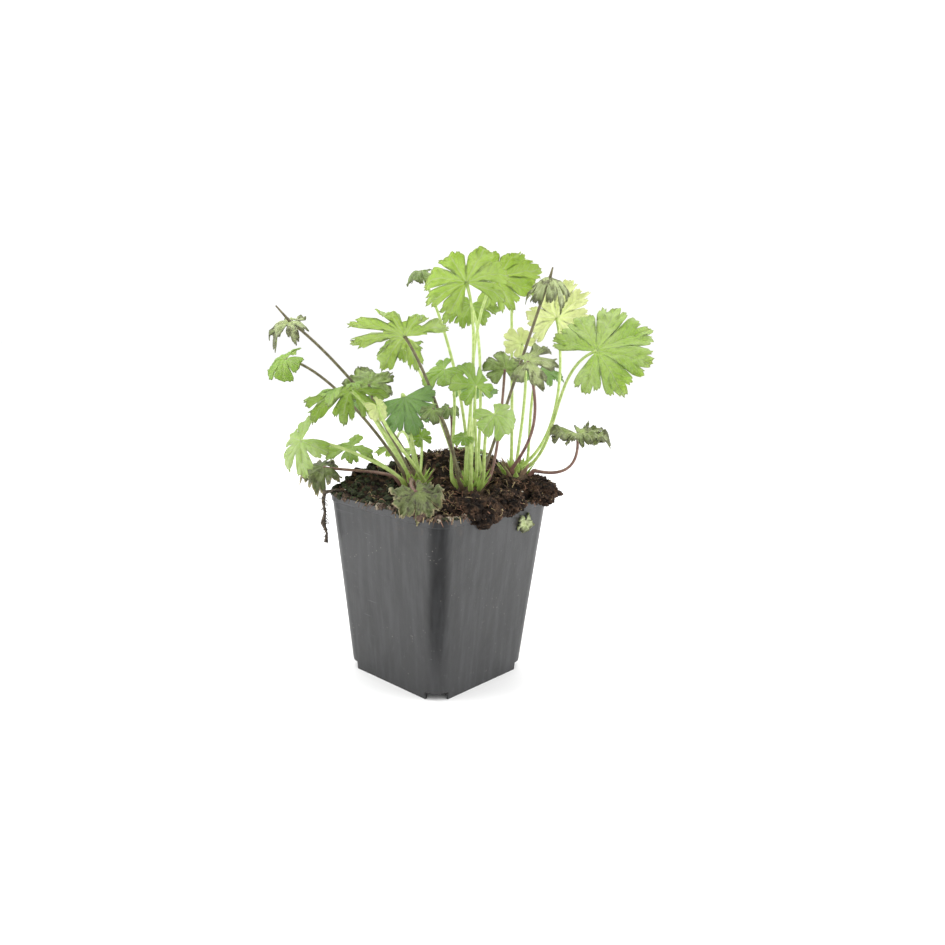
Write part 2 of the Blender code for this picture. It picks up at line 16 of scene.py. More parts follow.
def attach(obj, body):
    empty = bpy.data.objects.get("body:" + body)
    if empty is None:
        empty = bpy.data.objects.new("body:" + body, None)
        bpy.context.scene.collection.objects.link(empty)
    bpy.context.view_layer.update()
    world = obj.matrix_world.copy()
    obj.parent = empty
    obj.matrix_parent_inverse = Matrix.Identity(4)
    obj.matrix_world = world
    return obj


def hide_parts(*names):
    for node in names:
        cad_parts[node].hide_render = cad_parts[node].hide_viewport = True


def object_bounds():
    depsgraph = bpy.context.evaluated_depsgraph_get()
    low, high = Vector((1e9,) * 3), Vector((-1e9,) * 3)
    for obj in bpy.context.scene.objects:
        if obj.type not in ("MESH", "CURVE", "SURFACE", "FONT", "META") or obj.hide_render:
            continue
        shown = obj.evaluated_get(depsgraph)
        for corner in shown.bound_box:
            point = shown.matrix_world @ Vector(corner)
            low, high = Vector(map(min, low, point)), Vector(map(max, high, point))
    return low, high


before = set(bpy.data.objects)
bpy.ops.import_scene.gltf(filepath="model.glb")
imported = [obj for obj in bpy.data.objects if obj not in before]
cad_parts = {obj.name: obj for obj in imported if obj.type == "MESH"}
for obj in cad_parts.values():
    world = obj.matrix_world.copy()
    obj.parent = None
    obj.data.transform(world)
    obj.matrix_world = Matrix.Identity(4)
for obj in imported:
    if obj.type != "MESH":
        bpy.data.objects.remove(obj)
cad_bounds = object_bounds()

MM = 0.001
BODY = "root"
VIEW_TURN = math.radians(42.195)      # from the pot's +X to the viewer's right

# The camera, in mm and degrees round the pot
CAMERA_AWAY = 480
CAMERA_RISE = 11.549
CAMERA_ROLL = 1.560
CAMERA_LENS = 33.41                   # for a square frame on a 36 mm sensor
AIM_RIGHT = 17.77
AIM_UP = 112.715

# The pot
POT_TOP = 90 * MM                     # side of the square at the rim
POT_BASE = 72 * MM                    # side of the square on the ground
POT_HEIGHT = 100 * MM
POT_WALL = 1.2 * MM
TOP_CORNER = 10 * MM                  # radius of the upright corners
BASE_CORNER = 9 * MM
CORNER_STEPS = 12
SIDE_STEPS = 6
LIP_HEIGHT = 4 * MM
LIP_OUT = 0.5 * MM
FLOOR_RISE = 4.6 * MM                 # the floor stands off the ground round its dish
FLOOR_THICK = 1.4 * MM
DISH_RADIUS = 20 * MM
NOTCH_HEIGHT = 4.2 * MM
DRAIN_RADIUS = 4 * MM
DRAIN_AWAY = 26.5 * MM                # from the middle of the floor to each drain
EDGE_ROUND = 0.25 * MM

# The peat, in mm as it is seen from the front: its height at the pot's edge, its
# swells as (height, right, away, reach right, reach away), and the clods over the
# rim as (middle, half sizes)
PEAT_GAP = 0.3 * MM
PEAT_RINGS = 60
PEAT_SIDE = 94 * MM                   # height of its outermost ring, against the wall
PEAT_RIM = 98 * MM                    # and of the ring from which its top is drawn
PEAT_EDGE = 98.8
SWELLS = ((21, 8, 26, 44, 30), (7, 46, 2, 18, 18), (7, -44, 8, 14, 20))
PEAT_ROUGH = 1.2
CRUMB_WAVES = ((1.8, 3.2), (1.3, 1.5), (0.6, 0.7))        # height and width
HOLLOW = 15                           # round a crown in which the peat lies level with it
PROUD = 0.6                           # of the crown over the peat
PEAT_MARGIN = 2.5                     # within the wall, where nothing is strewn
CLODS = (((53, 1, 103), (11, 14, 7)), ((20, -40, 100.5), (13, 8, 7.5)),
         ((36, -24, 102), (9, 9, 6)))

# The waves of a rough lump: share of its roughness, fineness, where its seed moves them
LUMP_WAVES = ((1, 2.1, (1, 0, 0)), (0.5, 6.3, (0, 1, 0)), (0.30, 15.0, (0, 0, 1)),
              (0.16, 34.0, (1, 1, 0)))
CLOD_SPLITS = 6
CRUMB_SPLITS = 2

# The crowns, as (right, away, up) of the ground that they stand in
CROWNS = {"left": (-14, 0, 103.5), "centre": (17, -5, 104.0), "right": (42, 7, 108.5)}
INNER_SEATS = 6
OUTER_SEATS = 10
INNER_RING = 3.0 * MM
OUTER_RING = 6.0 * MM
FAN_DEPTH = 8 * MM                    # the sockets all point away from here

# The petioles
PETIOLE_BASE = 0.95 * MM
PETIOLE_TIP = 0.75 * MM
PETIOLE_SIDES = 10
PETIOLE_STEPS = 26
SPIKE_STEPS = 7                       # of the dead tip that stands on some hubs
SPIKE_SIDES = 8
STRAIGHT = 6.5 * MM                   # length of petiole that stands in its socket
LEAVE = 0.12                          # handles of a petiole's curve, as shares of its span
ARRIVE = 0.28

# Their hairs
STALK_HAIRS = 130                     # on each
HAIR_ROOT = 0.6 * MM                  # from the petiole's axis
HAIR_RADIUS = 0.035 * MM
HAIR_LENGTHS = (0.8 * MM, 1.5 * MM)
HAIR_STRETCH = (0.12, 0.97)           # of the petiole, from its foot to its hub

# The blades
THICKNESS = 0.36 * MM
OUTER_LOBES = 0.28                    # the lobes beside the petiole are this much shorter
NOTCHED_FROM = 17                     # radius in mm from which a lobe has three teeth
SLIT = 0.36                           # how near the middle the cuts between lobes come
HALF_NOTCHED = ((0.0, 1.01), (0.10, 0.96), (0.19, 0.995), (0.29, 0.945), (0.39, 0.80),
                (0.47, 0.925), (0.55, 0.885), (0.64, 0.945), (0.74, 0.87), (0.83, 0.89),
                (0.92, 0.79), (0.965, 0.66), (1.0, SLIT))
HALF_PLAIN = ((0.0, 0.89), (0.14, 0.935), (0.26, 0.95), (0.40, 0.985), (0.53, 0.935),
              (0.66, 0.955), (0.79, 0.86), (0.88, 0.86), (0.95, 0.68), (1.0, SLIT))
NOTCHED_LOBE, PLAIN_LOBE = [
    [(-place, reach) for place, reach in reversed(half[1:])] + list(half)
    for half in (HALF_NOTCHED, HALF_PLAIN)]
LOBE_SAMPLES = 30
BLADE_RINGS = 14
HUB_SHARE = 0.02                      # the innermost ring of the blade, by its edge
CRINKLE = 0.13                        # height of the folds of a blade, by its radius
CRINKLE_SCALE = 170
CRUMPLED = {"dark": 2.3, "dry": 3.2, "deep": 1.2}
RUFFLE = 0.035                        # curl of the lobes' edges, by the radius
RUFFLED = {"dark": 2.6, "dry": 2.8}
RUFFLES = 11                          # of the edge in each radian, and their drift outwards
RUFFLE_DRIFT = 7
LOBE_CURL = 2.2                       # fall of a lobe's sides, by the ruffles' height
FINE_FOLDS = {"dark": 0.12, "dry": 0.30}
RAGGED = {"dark": 0.08, "dry": 0.30}  # unevenness of the edge, as a share of the radius
PUFF = 0.34 * MM                      # rise of the skin between the veins
RIB_SINK = 0.42 * MM
RIB_SPACING = 3.4                     # mm between side veins along a rib
RIB_SLANT = 1.3                       # how far a side vein runs out along the lobe

# The crowns, in mm
CROWN_PROFILE = ((4, -5), (7.8, -2), (8.3, 0.5), (7.2, 2.6), (3.8, 4.2))
CROWN_SIDES = 48
STIPULES = 34
STIPULE_ROWS = 6
STIPULE_STEPS = 4
STIPULE_THICK = 0.25 * MM

# Crumbs, chips and fibres on the peat
CRUMBS = 420
CLOD_CRUMBS = 150
FLECKS = 190
FIBRES = 520
CLOD_FIBRES = 60
FIBRE_STEPS = 7
FIBRE_SIDES = 5
MOSS = 1000
BARE = -22                            # left of here, in mm, moss hides most of the peat
RIM_LITTER = 230
RIM_FIBRES = 60
FRONT = 4                             # away from the viewer, in mm, as far as the front rim runs

# The dry scrap on the right face of the pot, in mm
SCRAP_ALONG = 20                      # from the middle of the face
SCRAP_UP = 90
SCRAP_OUT = 1.2

# Skins of the upper side and of the underside, by tone: body, light patches that are uneven tone
# and partly a painted greyish highlight, veins, margin, colour of the light through it, share of that
# light
SKINS = {
    "fresh": (((0.150, 0.295, 0.028), (0.345, 0.485, 0.130), (0.50, 0.60, 0.28),
               (0.13, 0.15, 0.07), (0.54, 0.70, 0.06), 0.43),
              ((0.250, 0.385, 0.085), (0.450, 0.565, 0.215), (0.57, 0.65, 0.35),
               (0.18, 0.20, 0.11), (0.58, 0.74, 0.08), 0.47)),
    "bright": (((0.215, 0.370, 0.060), (0.430, 0.530, 0.250), (0.56, 0.63, 0.38),
                (0.22, 0.24, 0.13), (0.60, 0.74, 0.12), 0.42),
               ((0.340, 0.520, 0.110), (0.570, 0.670, 0.350), (0.66, 0.73, 0.46),
                (0.26, 0.29, 0.16), (0.74, 0.88, 0.14), 0.52)),
    "deep": (((0.175, 0.335, 0.110), (0.300, 0.470, 0.180), (0.42, 0.55, 0.29),
              (0.11, 0.14, 0.08), (0.46, 0.66, 0.14), 0.42),
             ((0.235, 0.375, 0.145), (0.340, 0.485, 0.210), (0.44, 0.55, 0.31),
              (0.13, 0.16, 0.10), (0.46, 0.66, 0.14), 0.42)),
    "dark": (((0.100, 0.160, 0.040), (0.370, 0.480, 0.165), (0.43, 0.52, 0.22),
              (0.070, 0.052, 0.040), (0.46, 0.60, 0.12), 0.34),
             ((0.145, 0.200, 0.072), (0.400, 0.495, 0.205), (0.46, 0.54, 0.27),
              (0.095, 0.074, 0.056), (0.46, 0.60, 0.12), 0.34)),
    "pale": (((0.53, 0.62, 0.26), (0.70, 0.76, 0.44), (0.76, 0.79, 0.52),
              (0.52, 0.52, 0.30), (0.82, 0.86, 0.46), 0.52),
             ((0.58, 0.65, 0.33), (0.73, 0.77, 0.48), (0.78, 0.80, 0.55),
              (0.52, 0.52, 0.32), (0.82, 0.86, 0.46), 0.52)),
    "mottled": (((0.175, 0.240, 0.078), (0.66, 0.73, 0.40), (0.66, 0.71, 0.42),
                 (0.055, 0.047, 0.035), (0.56, 0.64, 0.20), 0.34),
                ((0.205, 0.260, 0.100), (0.68, 0.74, 0.43), (0.68, 0.72, 0.44),
                 (0.070, 0.060, 0.048), (0.56, 0.64, 0.20), 0.34)),
    "dry": (((0.042, 0.062, 0.020), (0.195, 0.235, 0.080), (0.24, 0.28, 0.11),
             (0.38, 0.32, 0.17), (0.24, 0.26, 0.09), 0.18),
            ((0.085, 0.095, 0.048), (0.230, 0.240, 0.130), (0.28, 0.28, 0.16),
             (0.38, 0.32, 0.18), (0.24, 0.26, 0.09), 0.18)),
}
RIMS = {"fresh": 0.93, "bright": 0.94, "deep": 0.92, "dark": 0.78, "pale": 0.95, "dry": 0.86,
        "mottled": 0.58}
BLOTCH = (0.055, 0.036, 0.030)
BLOTCHED = {"dark": 0.55, "dry": 0.90, "mottled": 0.90}   # share of brown in the blotches
HUB_TINT = (0.92, 1.08, 0.55)         # of the light patches, round the hub

# Heights of the pot, in metres, between which a highlight is painted along its lip and peat is smeared
LIP_SHINE = (0.0955, 0.0968)
SMEARED = (0.080, 0.099)

# The dry root over the left corner, in mm
ROOT_PATH = ((-45, -7, 97), (-50, -7, 101.5), (-56, -7, 102.5), (-62, -7, 101), (-63, -7, 96),
             (-62, -6.5, 90), (-63, -7.5, 84), (-61, -7, 78), (-61.5, -7, 73))
ROOT_SIDES = 10
ROOTLETS = 60
ROOTLET_STEPS = 6
ROOTLET_SIDES = 5

# The stage: how far the floor reaches, the white sky, the lamps by name, power, size,
# and place as right, away, up, and a dark card that only glossy surfaces see, which
# darkens the pot's front corner: it lies on the floor and rises behind the camera
FLOOR_REACH = 3.0
SKY = 1.08
CARD_NEAR = (24, -74)                 # half its width and its place away, at the pot
CARD_FAR = (620, -430)
CARD_UP = 320
LAMPS = (("left", 4.2, 0.7, (-680, -60, 420)), ("right", 4.6, 0.7, (690, -40, 380)),
         ("top", 4.5, 0.8, (-100, 250, 900)))


def by_leaf(**groups):
    """The group of each leaf, from the names in each group."""
    return {f"leaf_{name}": group for group, names in groups.items() for name in names.split()}


# Leaves that don't have the skin of their tone, and stalks that aren't green
# leaf_left_rim wears the dry skin, darker than its own tone: partly painted shade, as it lies shaded
# low on the rim under the other leaves
SKIN_OF = by_leaf(bright="top_front top_right star right_large left_pale centre_bright",
                  mottled="far_left umbrella right_folded right_crinkled", dry="left_rim")
STALKS = by_leaf(olive="far_left left_back star umbrella centre_dark left_drooping",
                 rosy="centre_brown centre_crinkled right_folded right_crinkled left_rim withered")


def leaf(crown, seat, hub, radius, tip, face, tone, lobes=7, cone=0.0, droop=0.4,
         wave=0.06, folds=3, fold=0.1, arrive=0.8, bow=None, spike=0, spread=304,
         narrow=1.0):
    """One leaf: where it stands, where its blade is and which way that looks.

    radius is in millimetres. tip points along the middle lobe and face out of
    the upper side. cone lifts the blade to a funnel, droop curls it down, wave
    and folds ripple its edge, and fold creases each lobe along its rib. arrive
    says how steeply the petiole meets the blade, and bow gives the two handles
    of its curve where it is not a plain one. The lobes fan over spread degrees,
    and narrow is their width as a share of what each has room for.
    """
    row = SimpleNamespace(**locals())
    row.spread = math.radians(spread)
    return row


LEAVES = {
    # The left crown
    "leaf_far_left": leaf("left", 0, (-78, -14, 192), 17, (-0.8, -0.3, 0.1), (-0.1, -0.3, 1), "dark", 7,
        0.1, 1.3, 0.18, 5, spike=11, narrow=0.8),
    "leaf_left_drooping": leaf("left", 4, (-85, 8, 171), 16, (-0.9, -0.2, -0.2), (-0.4, -0.5, 0.7),
        "fresh", 5, 0.2, 1.3, 0.12, 4),
    "leaf_left_back": leaf("left", 3, (-42, 24, 157), 18, (-0.2, 0.5, 0.6), (0.1, -0.7, 0.7), "dark", 5,
        0.1, 0.8, 0.16, 5),
    "leaf_left_folded": leaf("left", 6, (-18, -24, 156), 22, (0.4, -0.1, -1), (0.2, -0.9, 0.2), "deep",
        5, -0.15, 0.35, 0.06, 3, 0.08, 0.6, spread=196),
    "leaf_left_curl": leaf("left", 15, (-31, -32, 152), 9, (0.6, -0.2, -0.5), (0.5, -0.5, 0.6), "pale",
        5, 0.1, 1.0, 0.1, 3, bow=((-12, -26, 122), (-26, -40, 140))),
    "leaf_left_large": leaf("left", 5, (-46, -20, 158), 28, (-0.75, 0.35, -0.1), (-0.2, 0.45, 0.9),
        "fresh", 7, 0.1, 1.0, 0.08, 4, narrow=0.85),
    "leaf_left_low": leaf("left", 11, (-49, 8, 124), 17, (-0.8, -0.5, 0.1), (0, -0.3, 1), "fresh", 5,
        0.1, 0.7, 0.14, 4, narrow=0.8),
    "leaf_left_small": leaf("left", 2, (-12, 24, 127), 8, (-0.4, 0.3, 0.7), (0.3, -0.8, 0.5), "fresh",
        5, 0.1, 0.5),
    "leaf_left_pale": leaf("left", 13, (-73, -14, 130), 21, (-0.85, -0.3, -0.35), (-0.45, -0.7, 0.5),
        "fresh", 5, 0.0, 0.9, 0.10, 3, narrow=0.9),
    "leaf_left_rim": leaf("left", 12, (-65, 6, 112), 17, (-0.9, -0.3, 0.1), (0.0, -0.4, 0.9), "dark", 5,
        0.0, 1.0, 0.12, 3, 0.1, 0.3),
    "leaf_withered": leaf("left", 14, (-10, -44, 111), 18, (0.5, -0.8, -0.05), (0.1, -0.5, 0.9), "dry",
        5, 0.0, 0.6, 0.09, 4, 0.1, 0.3),
    "leaf_back_left": leaf("left", 10, (-50, 50, 145), 18, (-0.5, 0.8, -0.1), (-0.2, 0.3, 0.9), "deep",
        7, 0.1, 0.8),
    "leaf_back_low": leaf("left", 9, (-30, 62, 114), 15, (-0.2, 0.9, -0.2), (0, 0.3, 0.9), "fresh", 5,
        0.1, 0.8, bow=((-18, 20, 136), (-28, 50, 132))),
    # The centre crown
    "leaf_top_front": leaf("centre", 5, (12, -12, 214), 28, (-0.4, -0.5, 0.75), (-0.1, 0.78, 0.62),
        "fresh", 7, 0.1, 0.9, 0.06, 4, narrow=0.93),
    "leaf_top_right": leaf("centre", 0, (28, 18, 217), 26, (0.6, 0.3, 0.6), (-0.1, 0.75, 0.65), "fresh",
        7, 0.1, 0.6, 0.08, 4),
    "leaf_top_small": leaf("centre", 3, (-14, 30, 220), 11, (-0.8, -0.2, 0.2), (-0.2, -0.3, 0.9),
        "dark", 5, 0.1, 1.3, 0.14, 4, bow=((17, 14, 130), (4, 36, 185))),
    "leaf_star": leaf("centre", 4, (-19, -14, 186), 32, (-0.75, -0.6, -0.15), (0.05, 0.65, 0.75),
        "fresh", 7, 0.25, 0.9, 0.10, 4, narrow=0.62),
    "leaf_centre_left": leaf("centre", 12, (1, 3, 168), 15, (-0.6, -0.6, 0.3), (-0.2, -0.5, 0.85),
        "fresh", 5, 0.1, 0.8, 0.12, 4),
    "leaf_centre_dark": leaf("centre", 13, (-3, -32, 151), 8, (-0.6, -0.6, 0.1), (-0.1, -0.6, 0.8),
        "dark", 5, 0.1, 1.0, 0.16, 4),
    "leaf_centre": leaf("centre", 6, (18, -26, 163), 15, (-0.2, -0.1, 0.95), (0.45, -0.8, 0.4), "fresh",
        5, 0.1, 0.9, 0.16, 5, narrow=0.85),
    "leaf_centre_crinkled": leaf("centre", 7, (34, 17, 168), 14, (0.0, -0.4, 0.9), (0.1, -0.9, 0.4),
        "dark", 5, 0.1, 0.9, 0.18, 5),
    "leaf_centre_brown": leaf("centre", 11, (4, 11, 146), 8, (-0.3, -0.8, 0.1), (0, -0.4, 0.9), "dark",
        5, 0.1, 1.0, 0.16, 4),
    "leaf_centre_bright": leaf("centre", 15, (28, -38, 150), 14, (0.5, -0.7, -0.3), (0.2, -0.65, 0.75),
        "fresh", 5, 0.1, 0.9, 0.16, 4),
    "leaf_centre_low": leaf("centre", 14, (13, -29, 137), 7, (-0.5, -0.6, 0.2), (0, -0.5, 0.8), "fresh",
        5, 0.1, 0.8),
    "leaf_umbrella": leaf("centre", 1, (55, -8, 218), 19, (0.1, -0.9, -0.2), (0.05, -0.3, 1), "dark", 7,
        -0.3, 1.2, 0.14, 5, spike=7, narrow=0.85),
    "leaf_back_top": leaf("centre", 2, (14, 58, 202), 22, (-0.3, 0.9, 0.1), (-0.1, 0.4, 0.9), "fresh",
        7, 0.1, 0.8),
    "leaf_back_star": leaf("centre", 10, (-26, 48, 178), 17, (-0.6, 0.7, 0.1), (-0.2, 0.4, 0.9),
        "fresh", 7, 0.1, 0.8),
    "leaf_back_centre": leaf("centre", 9, (18, 52, 154), 16, (0, 0.9, 0.1), (0, 0.3, 0.9), "deep", 5,
        0.1, 0.8),
    "leaf_back_rim": leaf("centre", 8, (16, 66, 114), 14, (0.1, 0.9, -0.3), (0, 0.4, 0.9), "deep", 5,
        0.1, 0.8, bow=((20, 24, 128), (17, 54, 130))),
    # The right crown
    "leaf_right_large": leaf("right", 1, (81, -8, 181), 32, (0.75, -0.2, 0.6), (-0.2, -0.8, 0.55),
        "fresh", 7, 0.1, 0.5, 0.07, 4, bow=((66, 2, 128), (58, 0, 172))),
    "leaf_pale_back": leaf("right", 2, (64, 45, 196), 25, (0.2, -0.3, 0.9), (-0.5, 0.75, 0.3), "pale",
        7, 0.1, 0.5, bow=((66, 14, 128), (70, 40, 168))),
    "leaf_pale_small": leaf("right", 0, (44, 40, 181), 12, (-0.5, -0.3, 0.8), (0.2, -0.8, 0.5), "pale",
        5, 0.1, 0.5),
    "leaf_right_folded": leaf("right", 5, (45, -12, 175), 18, (0.7, -0.5, 0.5), (-0.3, -0.6, 0.8),
        "dark", 5, 0.1, 1.1, 0.14, 4, narrow=0.8, bow=((50, -1, 132), (54, -12, 146))),
    "leaf_right_crinkled": leaf("right", 16, (73, -8, 137), 19, (0.5, -0.8, 0.1), (0.0, -0.15, 1),
        "dark", 7, 0.2, 0.5, 0.14, 7, 0.1, 1.3, bow=((60, 1, 113), (77, -7, 112))),
    "leaf_back_high": leaf("right", 3, (38, 62, 220), 18, (0.4, 0.8, 0.2), (0.1, 0.4, 0.9), "fresh", 7,
        0.1, 0.8, bow=((40, 26, 140), (38, 52, 190))),
    "leaf_back_right": leaf("right", 8, (56, 50, 165), 17, (0.5, 0.8, 0), (0.1, 0.3, 0.9), "deep", 5,
        0.1, 0.8),
}


def picture(right, away, up):
    """A point given as it is seen from the front, in the pot's own axes."""
    turn, side = math.cos(VIEW_TURN), math.sin(VIEW_TURN)
    return Vector((right * turn - away * side, right * side + away * turn, up)) * MM


def heading(right, away, up):
    """The same for a direction, as a unit vector."""
    return picture(right, away, up).normalized()


def seen(point):
    """The reverse of picture(): right and away of a point, in millimetres."""
    turn, side = math.cos(VIEW_TURN), math.sin(VIEW_TURN)
    return ((point.x * turn + point.y * side) / MM, (point.y * turn - point.x * side) / MM)


class Finish:
    """A material in the making: its nodes, and the colour and normal reached so far.

    Colours are given as triples or links, other values as numbers or links.
    """

    def __init__(self, name, colour=None):
        self.material = bpy.data.materials.new(name)
        self.material.use_nodes = True
        self.tree = self.material.node_tree
        self.shader = self.tree.nodes["Principled BSDF"]
        self.place = self.put("ShaderNodeTexCoord").outputs["Object"]
        self.colour = colour
        self.normal = None

    def fill(self, node, inputs):
        for name, value in inputs.items():
            if isinstance(value, bpy.types.NodeSocket):
                self.tree.links.new(value, node.inputs[name])
            else:
                node.inputs[name].default_value = value

    def put(self, kind, inputs=None, **settings):
        """Add a node with its settings and its inputs."""
        node = self.tree.nodes.new(kind)
        for name, value in settings.items():
            setattr(node, name, value)
        self.fill(node, inputs or {})
        return node

    def math(self, operation, first, second=0.0):
        return self.put("ShaderNodeMath", {0: first, 1: second}, operation=operation).outputs[0]

    def plus(self, first, second):
        return self.math("ADD", first, second)

    def times(self, first, second):
        return self.math("MULTIPLY", first, second)

    def fade(self, value, low, high, start=0.0, end=1.0):
        """start where value is low, end where it is high, and smooth between."""
        return self.put("ShaderNodeMapRange", {0: value, 1: low, 2: high, 3: start, 4: end},
                        interpolation_type="SMOOTHSTEP").outputs[0]

    def noise(self, scale, detail=3.0, roughness=0.55, place=None):
        """Noise from 0 to 1 with features of about 1 / scale metres."""
        return self.put("ShaderNodeTexNoise", {
            "Vector": self.place if place is None else place, "Scale": scale, "Detail": detail,
            "Roughness": roughness}).outputs["Fac"]

    def patches(self, scale, detail, low, high, start=0.0, end=1.0, roughness=0.55, place=None):
        """The same, faded between two of its values."""
        return self.fade(self.noise(scale, detail, roughness, place), low, high, start, end)

    def cells(self, feature, scale, low, high, start=1.0):
        """Values that fall from start to 0 away from the middles or edges of cells."""
        distance = self.put("ShaderNodeTexVoronoi", {"Vector": self.place, "Scale": scale},
                            feature=feature).outputs["Distance"]
        return self.fade(distance, low, high, start, 0.0)

    def drawn_out(self, scale, rotation=(0, 0, 0)):
        """The place with an axis drawn out, for marks that run along it."""
        return self.put("ShaderNodeMapping", {"Vector": self.place, "Rotation": rotation,
                                              "Scale": scale}).outputs[0]

    def leaf_place(self):
        """Millimetres across and along the rib, and the way from hub or foot to the end."""
        spot = self.put("ShaderNodeAttribute", attribute_name="leaf_place").outputs["Vector"]
        return self.put("ShaderNodeSeparateXYZ", {0: spot}).outputs

    def mix(self, share, first, second):
        """A colour between two."""
        first, second = [value if isinstance(value, bpy.types.NodeSocket) else (*value, 1)
                         for value in (first, second)]
        return self.put("ShaderNodeMix", {0: share, 6: first, 7: second},
                        data_type="RGBA").outputs[2]

    def paint(self, share, colour):
        """Lay a share of another colour over the one reached so far."""
        self.colour = self.mix(share, self.colour, colour)

    def dent(self, height, depth):
        """Bump by a height between 0 and 1 that stands for depth metres."""
        inputs = {"Height": height, "Distance": depth, "Strength": 1.0}
        if self.normal:
            inputs["Normal"] = self.normal
        self.normal = self.put("ShaderNodeBump", inputs).outputs[0]

    def done(self, inputs):
        """Hand all that to the shader, and the rest by the names of its sockets."""
        self.fill(self.shader, {"Base Color": self.colour, "Normal": self.normal, **inputs})
        return self.material


def leaf_finish(name, body, light, vein, margin, glow, thin, rim, raised, blotched=0.0):
    """Skin of a leaf: body to light in patches, veins, a margin, and light through it.

    thin is the share of the light that comes through, in the colour glow. rim is
    where the margin's colour sets in, by the way from hub to edge. raised says
    whether the veins stand out, as they do on the underside. blotched is the share
    of brown in the blotches of a leaf that is dying.
    """
    skin = Finish(name, body)
    across, along, reach = skin.leaf_place()
    stray = skin.times(skin.plus(skin.noise(260, 2), -0.5), 1.6)
    off_rib = skin.math("ABSOLUTE", skin.plus(across, skin.times(stray, 0.35)))
    rib = skin.fade(off_rib, 0.14, 0.42, 1, 0)
    run = skin.plus(skin.plus(along, skin.times(across, -RIB_SLANT)), stray)
    side = skin.fade(skin.math("PINGPONG", run, RIB_SPACING / 2), 0.10, 0.34, 0.75, 0)
    ribs = skin.math("MAXIMUM", rib, side)
    veins = skin.math("MAXIMUM", ribs, skin.cells("DISTANCE_TO_EDGE", 620, 0.02, 0.12, 0.30))
    fine = skin.patches(600, 3, 0.3, 0.75)
    # light patches: uneven tone of the skin, and partly a painted highlight of its greyish sheen
    skin.paint(skin.plus(skin.patches(85, 4, 0.34, 0.66, 0, 0.55),
                         skin.patches(30, 2, 0.42, 0.58, 0, 0.45)), light)
    skin.paint(skin.fade(reach, 0.05, 0.60, 0.45, 0),
               tuple(channel * share for channel, share in zip(light, HUB_TINT)))
    if blotched:
        skin.paint(skin.patches(240, 5, 0.50, 0.62, 0, blotched, 0.65), BLOTCH)
    skin.paint(skin.times(fine, 0.22), tuple(channel * 0.55 for channel in body))
    skin.paint(skin.times(veins, 0.62), vein)
    edge = skin.plus(reach, skin.times(skin.plus(skin.noise(300), -0.5), 1.6 * (1 - rim)))
    skin.paint(skin.fade(edge, rim, 0.995, 0, 0.85), margin)
    skin.dent(skin.times(ribs, 1 if raised else -1), 0.22 * MM)
    skin.dent(skin.noise(1100, 2), 0.04 * MM)
    through = skin.put("ShaderNodeBsdfTranslucent", {
        "Color": skin.mix(skin.times(veins, 0.5), glow, vein), "Normal": skin.normal})
    blend = skin.put("ShaderNodeMixShader", {0: thin, 1: skin.shader.outputs[0],
                                             2: through.outputs[0]})
    skin.fill(skin.tree.nodes["Material Output"], {"Surface": blend.outputs[0]})
    return skin.done({"Roughness": skin.plus(skin.times(fine, 0.16), 0.47), "Sheen Weight": 0.08})


def stalk_finish(name, body, light, foot):
    """Skin of a petiole: streaks along it, and the colour of its foot low down."""
    skin = Finish(name, body)
    reach = skin.leaf_place()[2]
    skin.paint(skin.patches(420, 4, 0.32, 0.68), light)
    skin.paint(skin.fade(reach, 0.02, 0.30, 0.75, 0), foot)
    skin.dent(skin.noise(1300), 0.12 * MM)
    return skin.done({"Roughness": 0.48, "Subsurface Weight": 0.10,
                      "Subsurface Radius": (0.002, 0.003, 0.001)})


def pot_finish():
    """Anthracite plastic, with faint scuffs, dust, peat smeared on it here and there, and a painted
    highlight along its lip.
    """
    skin = Finish("nursery plastic", (0.020, 0.0203, 0.021))
    height = skin.put("ShaderNodeSeparateXYZ", {0: skin.place}).outputs["Z"]
    broad = skin.patches(28, 4, 0.30, 0.72)
    skin.paint(broad, (0.031, 0.0314, 0.0325))
    scuff = skin.patches(520, 5, 0.60, 0.78, 0, 1, 0.7, skin.drawn_out((1, 1, 0.22)))
    skin.paint(skin.times(scuff, 0.35), (0.12, 0.12, 0.125))
    streak = skin.patches(260, 3, 0.40, 0.70, 0, 0.45, place=skin.drawn_out((1, 1, 0.05)))
    skin.paint(streak, (0.052, 0.053, 0.056))
    slant = skin.drawn_out((0.05, 1, 1), (0.9, 0.5, 0.2))
    skin.paint(skin.patches(700, 2, 0.70, 0.76, 0, 0.5, place=slant), (0.11, 0.11, 0.115))
    dust = skin.times(skin.cells("F1", 420, 0.05, 0.15), skin.patches(55, 3, 0.52, 0.66))
    skin.paint(skin.times(dust, 0.75), (0.24, 0.22, 0.20))
    # a painted highlight: a lighter band along the lip's step
    skin.paint(skin.fade(height, *LIP_SHINE, 0, 0.12), (0.075, 0.076, 0.080))
    smear = skin.patches(150, 5, 0.55, 0.70, 0, 0.6, 0.7)
    skin.paint(skin.times(skin.fade(height, *SMEARED), smear), (0.06, 0.045, 0.036))
    skin.dent(skin.noise(1100), 0.05 * MM)
    skin.dent(skin.noise(60, 2), 0.5 * MM)
    rough = skin.plus(skin.times(scuff, 0.2), skin.plus(skin.times(broad, 0.08), 0.38))
    return skin.done({"Roughness": rough, "Specular IOR Level": 0.40})


def peat_finish(name):
    skin = Finish(name, (0.009, 0.007, 0.006))
    skin.paint(skin.patches(330, 6, 0.36, 0.66, roughness=0.7), (0.110, 0.064, 0.038))
    skin.paint(skin.patches(130, 3, 0.40, 0.56, 0.75, 0), (0.005, 0.004, 0.0035))
    chips = skin.times(skin.cells("F1", 520, 0.12, 0.28), skin.patches(240, 3, 0.56, 0.68))
    skin.paint(chips, (0.24, 0.135, 0.075))
    skin.dent(skin.noise(900, 7, 0.75), 0.9 * MM)
    return skin.done({"Roughness": 0.93, "Specular IOR Level": 0.25})


